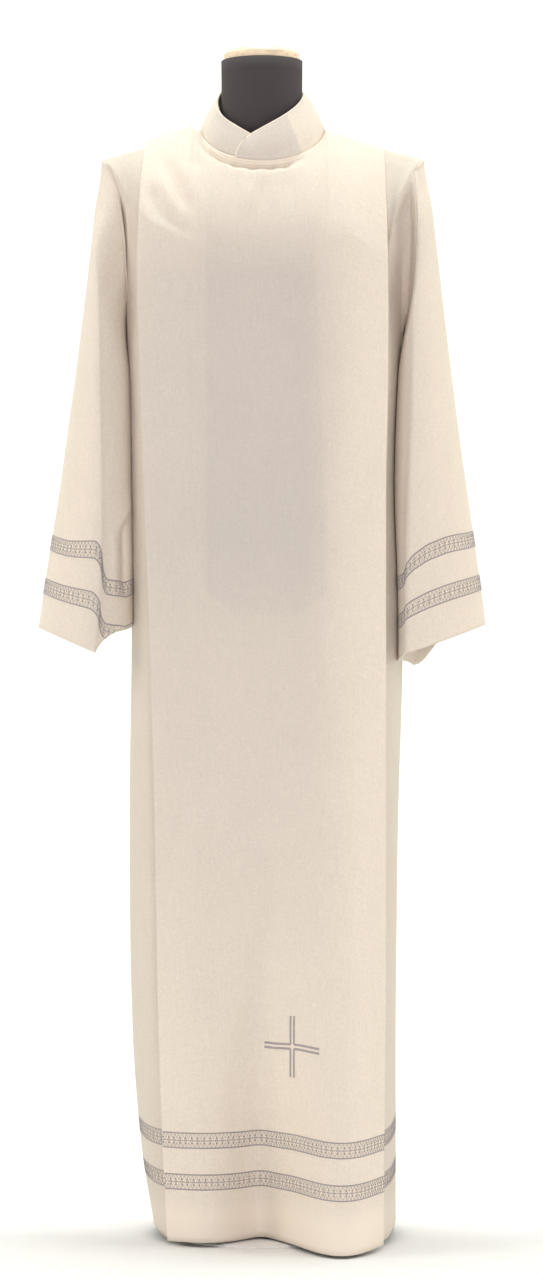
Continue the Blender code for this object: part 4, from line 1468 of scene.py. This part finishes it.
def studio_finish(name):
    """Plain pale paper for floor and walls, clear from outside so that it hides nothing."""
    colour = tuple(bpy.context.scene.alb_studio.floor_colour)
    finish = Finish(name, colour, Roughness=0.9, Specular_IOR_Level=0.1)
    mottle = finish.noise(finish.place(), 3.0)
    finish.colour(finish.mixed(mottle, toned(colour, 0.985), colour))
    nodes, links = finish.tree.nodes, finish.tree.links
    geometry, clear = nodes.new("ShaderNodeNewGeometry"), nodes.new("ShaderNodeBsdfTransparent")
    sides = nodes.new("ShaderNodeMixShader")
    links.new(geometry.outputs["Backfacing"], sides.inputs["Fac"])
    links.new(finish.shader.outputs["BSDF"], sides.inputs[1])
    links.new(clear.outputs["BSDF"], sides.inputs[2])
    links.new(sides.outputs["Shader"], nodes["Material Output"].inputs["Surface"])
    return finish.material


def colour_setting(name, description, default):
    return FloatVectorProperty(name=name, description=description, default=default,
                               min=0.0, max=1.0, subtype="COLOR")


def power_setting(name, description, default):
    return FloatProperty(name=name, description=description, default=default, min=0.0, unit="POWER")


class AlbCloth(bpy.types.PropertyGroup):
    """The alb's cloth."""
    thickness: FloatProperty(name="Thickness", description="Thickness of the cloth",
                             default=2.0 * CLOTH_HALF, min=0.0003, max=0.0015, unit="LENGTH")
    collar_thickness: FloatProperty(name="Collar thickness",
                                    description="Thickness of the doubled collar",
                                    default=0.0016, min=0.0005, max=0.0025, unit="LENGTH")
    weave_pitch: FloatProperty(name="Weave pitch", description="Distance between threads of the weave",
                               default=0.0009, min=0.0003, max=0.003, unit="LENGTH")
    colour: colour_setting("Cloth colour", "Colour of the ivory cloth", (0.85, 0.755, 0.655))


class AlbEmbroidery(bpy.types.PropertyGroup):
    """The threads of the bands and the cross."""
    thread_colour: colour_setting("Thread colour", "Colour of the grey thread",
                                  (0.40, 0.355, 0.36))
    # Painted shade: the eyelets are small holes, drawn as dark stitches for the shade and the dark form
    # seen in them
    eyelet_shade_colour: colour_setting("Eyelet colour", "Colour of the small dark eyelets",
                                  (0.17, 0.14, 0.13))


class AlbForm(bpy.types.PropertyGroup):
    """The dress form and its stand."""
    cover_colour: colour_setting("Cover colour", "Colour of the form's jersey cover",
                                 (0.022, 0.0185, 0.020))
    wood_colour: colour_setting("Wood colour", "Colour of the neck cap", (1.0, 0.80, 0.59))
    foot_colour: colour_setting("Foot colour", "Colour of the powder-coated foot",
                                (0.84, 0.83, 0.81))
    roundness: IntProperty(name="Roundness", description="Sides of each turned part of the form",
                           default=96, min=24, max=256)


class AlbStudio(bpy.types.PropertyGroup):
    """Floor, light and camera."""
    floor_colour: colour_setting("Floor colour", "Colour of the floor and the wall",
                                 (0.95, 0.95, 0.95))
    overhead_power: power_setting("Overhead light", "Power of the soft box overhead", 63.0)
    front_power: power_setting("Front light", "Power of the high soft box in front", 47.5)
    side_power: power_setting("Side lights", "Power of each soft box at the sides", 50.5)
    low_power: power_setting("Low light", "Power of the low soft box that lights the hem", 12.0)
    wall_power: power_setting("Wall light", "Power of the light on the wall behind", 45.0)
    world_light: FloatProperty(name="Room light", description="Strength of the even light of the room",
                               default=0.02, min=0.0, max=3.0)
    lens: FloatProperty(name="Lens", description="Focal length of the camera in millimetres",
                        default=100.7, min=20.0, max=300.0)
    camera_distance: FloatProperty(name="Camera distance",
                                   description="Distance from camera to the form",
                                   default=4.8, min=1.0, unit="LENGTH")
    camera_height: FloatProperty(name="Camera height",
                                 description="Height of the camera above the floor",
                                 default=0.795, min=0.0, unit="LENGTH")
    camera_x: FloatProperty(name="Camera offset", description="Camera offset towards the wearer's left",
                            default=0.0114, unit="LENGTH")


def cloth_material(name=""):
    """The cloth; the side pieces get a little painted shade, and the collar the painted shadow of the
    neck.
    """
    if name.startswith("side"):
        # Painted shade: the side pieces' cloth is darker than the panels'
        return cached("alb_side_cloth", lambda made: cloth_finish(made, SIDE_SHADE_SHARE))
    if name.startswith("collar"):
        # Painted shade: the collar carries the painted shadow of the neck
        return cached("alb_collar_cloth", lambda made: cloth_finish(made, 1.0, True))
    return cached("alb_cloth", cloth_finish)


def thread_material():
    colour = tuple(bpy.context.scene.alb_embroidery.thread_colour)
    return cached("alb_thread", lambda name: thread_finish(name, colour, 0.55))


def eyelet_material():
    # The eyelets' dark colour is painted shade of the holes, with the dark form behind
    colour = tuple(bpy.context.scene.alb_embroidery.eyelet_shade_colour)
    return cached("alb_eyelet", lambda name: thread_finish(name, colour, 0.9))


def dressed_sheet(name, closed=False, thickness=None):
    """Builds the cloth of a node and puts it in the node's place."""
    thickness = thickness or bpy.context.scene.alb_cloth.thickness
    piece = cloth_sheet(name + "_cloth", cut_piece(name), cloth_material(name), thickness, closed)
    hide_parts(name)


class OBJECT_OT_alb_panels(bpy.types.Operator):
    """Front and back panels, with their deep pleats and the shoulder flap"""
    bl_idname = "object.alb_panels"
    bl_label = "Front and back panels"

    def execute(self, context):
        for name in ("front_panel", "back_panel"):
            dressed_sheet(name)
        return {"FINISHED"}


class OBJECT_OT_alb_sides(bpy.types.Operator):
    """The four side pieces that run under the pleats"""
    bl_idname = "object.alb_sides"
    bl_label = "Side pieces"

    def execute(self, context):
        for part in ("side_front", "side_back"):
            for side in ("left", "right"):
                dressed_sheet(f"{part}_{side}")
        return {"FINISHED"}


class OBJECT_OT_alb_sleeves(bpy.types.Operator):
    """The two long sleeves, each one closed tube"""
    bl_idname = "object.alb_sleeves"
    bl_label = "Sleeves"

    def execute(self, context):
        for side in ("left", "right"):
            dressed_sheet(f"sleeve_{side}",
                          closed=True)
        return {"FINISHED"}


class OBJECT_OT_alb_collar(bpy.types.Operator):
    """The stand collar, its left end over its right"""
    bl_idname = "object.alb_collar"
    bl_label = "Stand collar"

    def execute(self, context):
        thickness = context.scene.alb_cloth.collar_thickness
        for side in ("left", "right"):
            dressed_sheet(f"collar_{side}", thickness=thickness)
        return {"FINISHED"}


class OBJECT_OT_alb_bands(bpy.types.Operator):
    """Two openwork bands round the hem and round each cuff"""
    bl_idname = "object.alb_bands"
    bl_label = "Embroidered bands"

    def execute(self, context):
        for host, rises in HOSTS.items():
            threads = bmesh.new()
            eyelets = bmesh.new()
            for rise in rises:
                band(threads, eyelets, cut_piece(host), *shown_columns(host), rise)
            finish_shape(f"{host}_bands", threads, thread_material())
            finish_shape(f"{host}_eyelets", eyelets, eyelet_material())
        return {"FINISHED"}


class OBJECT_OT_alb_cross(bpy.types.Operator):
    """The plain embroidered cross low on the front"""
    bl_idname = "object.alb_cross"
    bl_label = "Embroidered cross"

    def execute(self, context):
        threads = bmesh.new()
        cross(threads, cut_piece("front_panel"))
        finish_shape("front_cross", threads, thread_material())
        return {"FINISHED"}


class OBJECT_OT_alb_seams(bpy.types.Operator):
    """Seams where the cut pieces meet, and the two lines of the neck seam"""
    bl_idname = "object.alb_seams"
    bl_label = "Seams"

    def execute(self, context):
        shape = bmesh.new()
        front, back = cut_piece("front_panel"), cut_piece("back_panel")
        first, last = shown_columns("front_panel")
        middle = (first + last) // 2
        for columns in (range(first + len(TURN_ANGLES), middle - NECK_COLUMNS + 1),
                        range(middle + NECK_COLUMNS, last - len(TURN_ANGLES) + 1)):
            places = list(columns)
            tube(shape, 0.5 * (front.points[places, 0] + back.points[places, 0]), SEAM_RADIUS)
        for side in ("left", "right"):
            side_front, side_back = cut_piece(f"side_front_{side}"), cut_piece(f"side_back_{side}")
            tube(shape, 0.5 * (side_front.points[-1] + side_back.points[-1]), SEAM_RADIUS)
            rest = slice(len(TURN_ANGLES) + 1, -ARMHOLE_COLUMNS)
            tube(shape, 0.5 * (side_front.points[rest, 0] + side_back.points[rest, 0]), SEAM_RADIUS)
            tube(shape, cut_piece(f"sleeve_{side}").points[:, 0], SEAM_RADIUS)
        finish_shape("body_seams", shape, cloth_material())

        shape = bmesh.new()
        for panel in (front, back):
            neckline = panel.points[middle - NECK_COLUMNS:middle + NECK_COLUMNS + 1, 0]
            tube(shape, neckline, NECK_CORD_RADIUS)
        for drop, (low, high) in NECK_LINES:
            path = [(middle + share, drop) for share in steps(40, low, high)]
            ribbon(shape, front, path, NECK_LINE_HALF, NECK_LINE_HEIGHT, from_top=True)
        finish_shape("neck_seam", shape, cached("pressed_edge", edge_highlight_finish))

        shape = bmesh.new()
        for side in ("left", "right"):
            collar = cut_piece(f"collar_{side}")
            tube(shape, collar.points[:, 0], COLLAR_CORD_RADIUS)
            tube(shape, collar.points[-1], COLLAR_CORD_RADIUS)
        finish_shape("collar_edges", shape, cached("pressed_edge", edge_highlight_finish))
        return {"FINISHED"}


class OBJECT_OT_alb_form(bpy.types.Operator):
    """The limbless torso in its jersey cover"""
    bl_idname = "object.alb_form"
    bl_label = "Dress form"

    def execute(self, context):
        sides = context.scene.alb_form.roundness
        rings = []
        for low, high in zip(TORSO_ROWS, TORSO_ROWS[1:]):
            for share in steps(TORSO_STEPS)[:-1]:
                rings.append(torso_ring([a + (b - a) * share for a, b in zip(low, high)], sides))
        rings.append(torso_ring(TORSO_ROWS[-1], sides))
        shape = bmesh.new()
        sweep(shape, rings, run_of([ring[0] for ring in rings]))
        piece = finish_shape("form_cover", shape, cached("form_cover", form_finish))
        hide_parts("form_torso")
        return {"FINISHED"}


def torso_ring(values, sides):
    row = dict(zip(TORSO_COLUMNS, values))
    under_cloth = smooth(row["z"], *UNDER_CLOTH_Z) * UNDER_CLOTH
    ring = []
    for index in range(sides):
        angle = 2.0 * pi * index / sides
        depth = row["front"] if sin(angle) < 0.0 else row["back"]
        ring.append(Vector((row["middle_x"] + (row["half_x"] - under_cloth) * cos(angle),
                            (depth - under_cloth) * sin(angle), row["z"])))
    return ring


def turned(name, profile, place, sides, material):
    """A profile of (radius, z) spun round its own upright axis."""
    shape = bmesh.new()
    points = [shape.verts.new((place[0] + radius, place[1], place[2] + z)) for radius, z in profile]
    edges = [shape.edges.new(pair) for pair in zip(points, points[1:])]
    bmesh.ops.spin(shape, geom=points + edges, cent=place, axis=(0.0, 0.0, 1.0), dvec=(0.0, 0.0, 0.0),
                   angle=2.0 * pi, steps=sides, use_merge=True, use_duplicate=False)
    bmesh.ops.remove_doubles(shape, verts=shape.verts, dist=SMALLEST_STEP)
    bmesh.ops.recalc_face_normals(shape, faces=shape.faces)
    piece = finish_shape(name, shape, material)
    edge = piece.modifiers.new("Soft edges", "BEVEL")
    edge.width = SOFT_EDGE
    edge.segments = 3
    edge.limit_method = "ANGLE"
    edge.angle_limit = radians(SOFT_EDGE_ANGLE)
    edge.harden_normals = True
    return piece


class OBJECT_OT_alb_stand(bpy.types.Operator):
    """The wooden neck cap, the pole and the round foot"""
    bl_idname = "object.alb_stand"
    bl_label = "Cap and stand"

    def execute(self, context):
        sides = context.scene.alb_form.roundness
        wood = cached("neck_cap_wood", wood_finish)
        powder = cached("stand_powder", powder_finish)
        neck_top = TORSO_ROWS[0][0] + FIT_GAP
        hub_top = FOOT_PROFILE[0][1] + FIT_GAP
        for name, profile, place, material, slot in (
                ("form_cap", CAP_PROFILE, (NECK_MIDDLE_X, 0.0, neck_top), wood, "wood"),
                ("form_pole", POLE_PROFILE, (0.0, 0.0, hub_top), powder, "stand"),
                ("form_base", FOOT_PROFILE, (0.0, 0.0, 0.0), powder, "stand")):
            piece = turned(name + "_turned", profile, place, sides, material)
            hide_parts(name)
        return {"FINISHED"}


def area_light(name, power, place, aim, size, colour):
    data = bpy.data.lights.new(name, "AREA")
    data.shape = "RECTANGLE"
    data.size, data.size_y = size
    data.energy = power
    data.color = colour
    light = bpy.data.objects.new(name, data)
    light.location = place
    light.rotation_euler = (Vector(aim) - Vector(place)).to_track_quat("-Z", "Y").to_euler()
    light.visible_camera = False
    bpy.context.scene.collection.objects.link(light)


class OBJECT_OT_alb_studio(bpy.types.Operator):
    """Round room of pale seamless paper, soft lights and the camera"""
    bl_idname = "object.alb_studio"
    bl_label = "Studio"

    def execute(self, context):
        scene = context.scene
        settings = scene.alb_studio
        cove = [(0.0, 0.0), (FLOOR_RADIUS, 0.0)]
        for turn in steps(COVE_STEPS, radians(-90.0), 0.0)[1:]:
            cove.append((FLOOR_RADIUS + COVE_RADIUS * cos(turn), COVE_RADIUS + COVE_RADIUS * sin(turn)))
        cove.append((FLOOR_RADIUS + COVE_RADIUS, WALL_TOP))
        middle = Vector((0.0, ROOM_MIDDLE_Y, 0.0))
        rows = [[middle + Vector((reach * cos(turn), reach * sin(turn), z)) for reach, z in cove]
                for turn in steps(ROOM_AROUND, 0.0, 2.0 * pi)]
        shape = grid_shape(rows, steps(ROOM_AROUND), [run_of(row) for row in rows])
        bmesh.ops.remove_doubles(shape, verts=shape.verts[:], dist=SMALLEST_STEP)
        bmesh.ops.recalc_face_normals(shape, faces=shape.faces[:])
        if max(shape.faces, key=lambda face: abs(face.normal.z)).normal.z < 0.0:
            bmesh.ops.reverse_faces(shape, faces=shape.faces[:])
        new_object("studio_cove", shape, cached("studio_paper", studio_finish))

        for name, power, *rest in LIGHTS:
            area_light(name, getattr(settings, power), *rest)
        world = bpy.data.worlds.new("studio_room")
        world.use_nodes = True
        room = world.node_tree.nodes["Background"]
        room.inputs["Color"].default_value = (1.0, 1.0, 1.0, 1.0)
        room.inputs["Strength"].default_value = settings.world_light
        scene.world = world
        scene.view_settings.view_transform = "Standard"

        data = bpy.data.cameras.new("camera")
        data.lens = settings.lens
        camera = bpy.data.objects.new("camera", data)
        camera.location = (settings.camera_x, -settings.camera_distance, settings.camera_height)
        camera.rotation_euler = (radians(90.0), 0.0, 0.0)
        scene.collection.objects.link(camera)
        scene.camera = camera
        return {"FINISHED"}


OPERATORS = (
    OBJECT_OT_alb_panels, OBJECT_OT_alb_sides, OBJECT_OT_alb_sleeves, OBJECT_OT_alb_collar,
    OBJECT_OT_alb_bands, OBJECT_OT_alb_cross, OBJECT_OT_alb_seams, OBJECT_OT_alb_form,
    OBJECT_OT_alb_stand, OBJECT_OT_alb_studio,
)
GROUPS = {"alb_cloth": AlbCloth, "alb_embroidery": AlbEmbroidery, "alb_form": AlbForm,
          "alb_studio": AlbStudio}


class VIEW3D_PT_alb(bpy.types.Panel):
    """Lists the pieces of the alb and their sizes and colours"""
    bl_idname = "VIEW3D_PT_alb"
    bl_label = "Alb"
    bl_space_type = "VIEW_3D"
    bl_region_type = "UI"
    bl_category = "Alb"

    def draw(self, context):
        for name in GROUPS:
            settings = getattr(context.scene, name)
            box = self.layout.box()
            for setting in settings.bl_rna.properties:
                if setting.identifier not in {"rna_type", "name"}:
                    box.prop(settings, setting.identifier)
        for operator in OPERATORS:
            self.layout.operator(operator.bl_idname)


def register():
    for group in GROUPS.values():
        bpy.utils.register_class(group)
    for name, group in GROUPS.items():
        setattr(bpy.types.Scene, name, PointerProperty(type=group))
    for item in (*OPERATORS, VIEW3D_PT_alb):
        bpy.utils.register_class(item)


def unregister():
    for item in (VIEW3D_PT_alb, *reversed(OPERATORS)):
        bpy.utils.unregister_class(item)
    for name in GROUPS:
        delattr(bpy.types.Scene, name)
    for group in reversed(GROUPS.values()):
        bpy.utils.unregister_class(group)


def main():
    register()
    for operator in OPERATORS:
        made = getattr(bpy.ops.object, operator.bl_idname.split(".")[1])()
        if made != {"FINISHED"}:
            raise RuntimeError(f"{operator.bl_label} wasn't made")


if __name__ == "__main__":
    main()
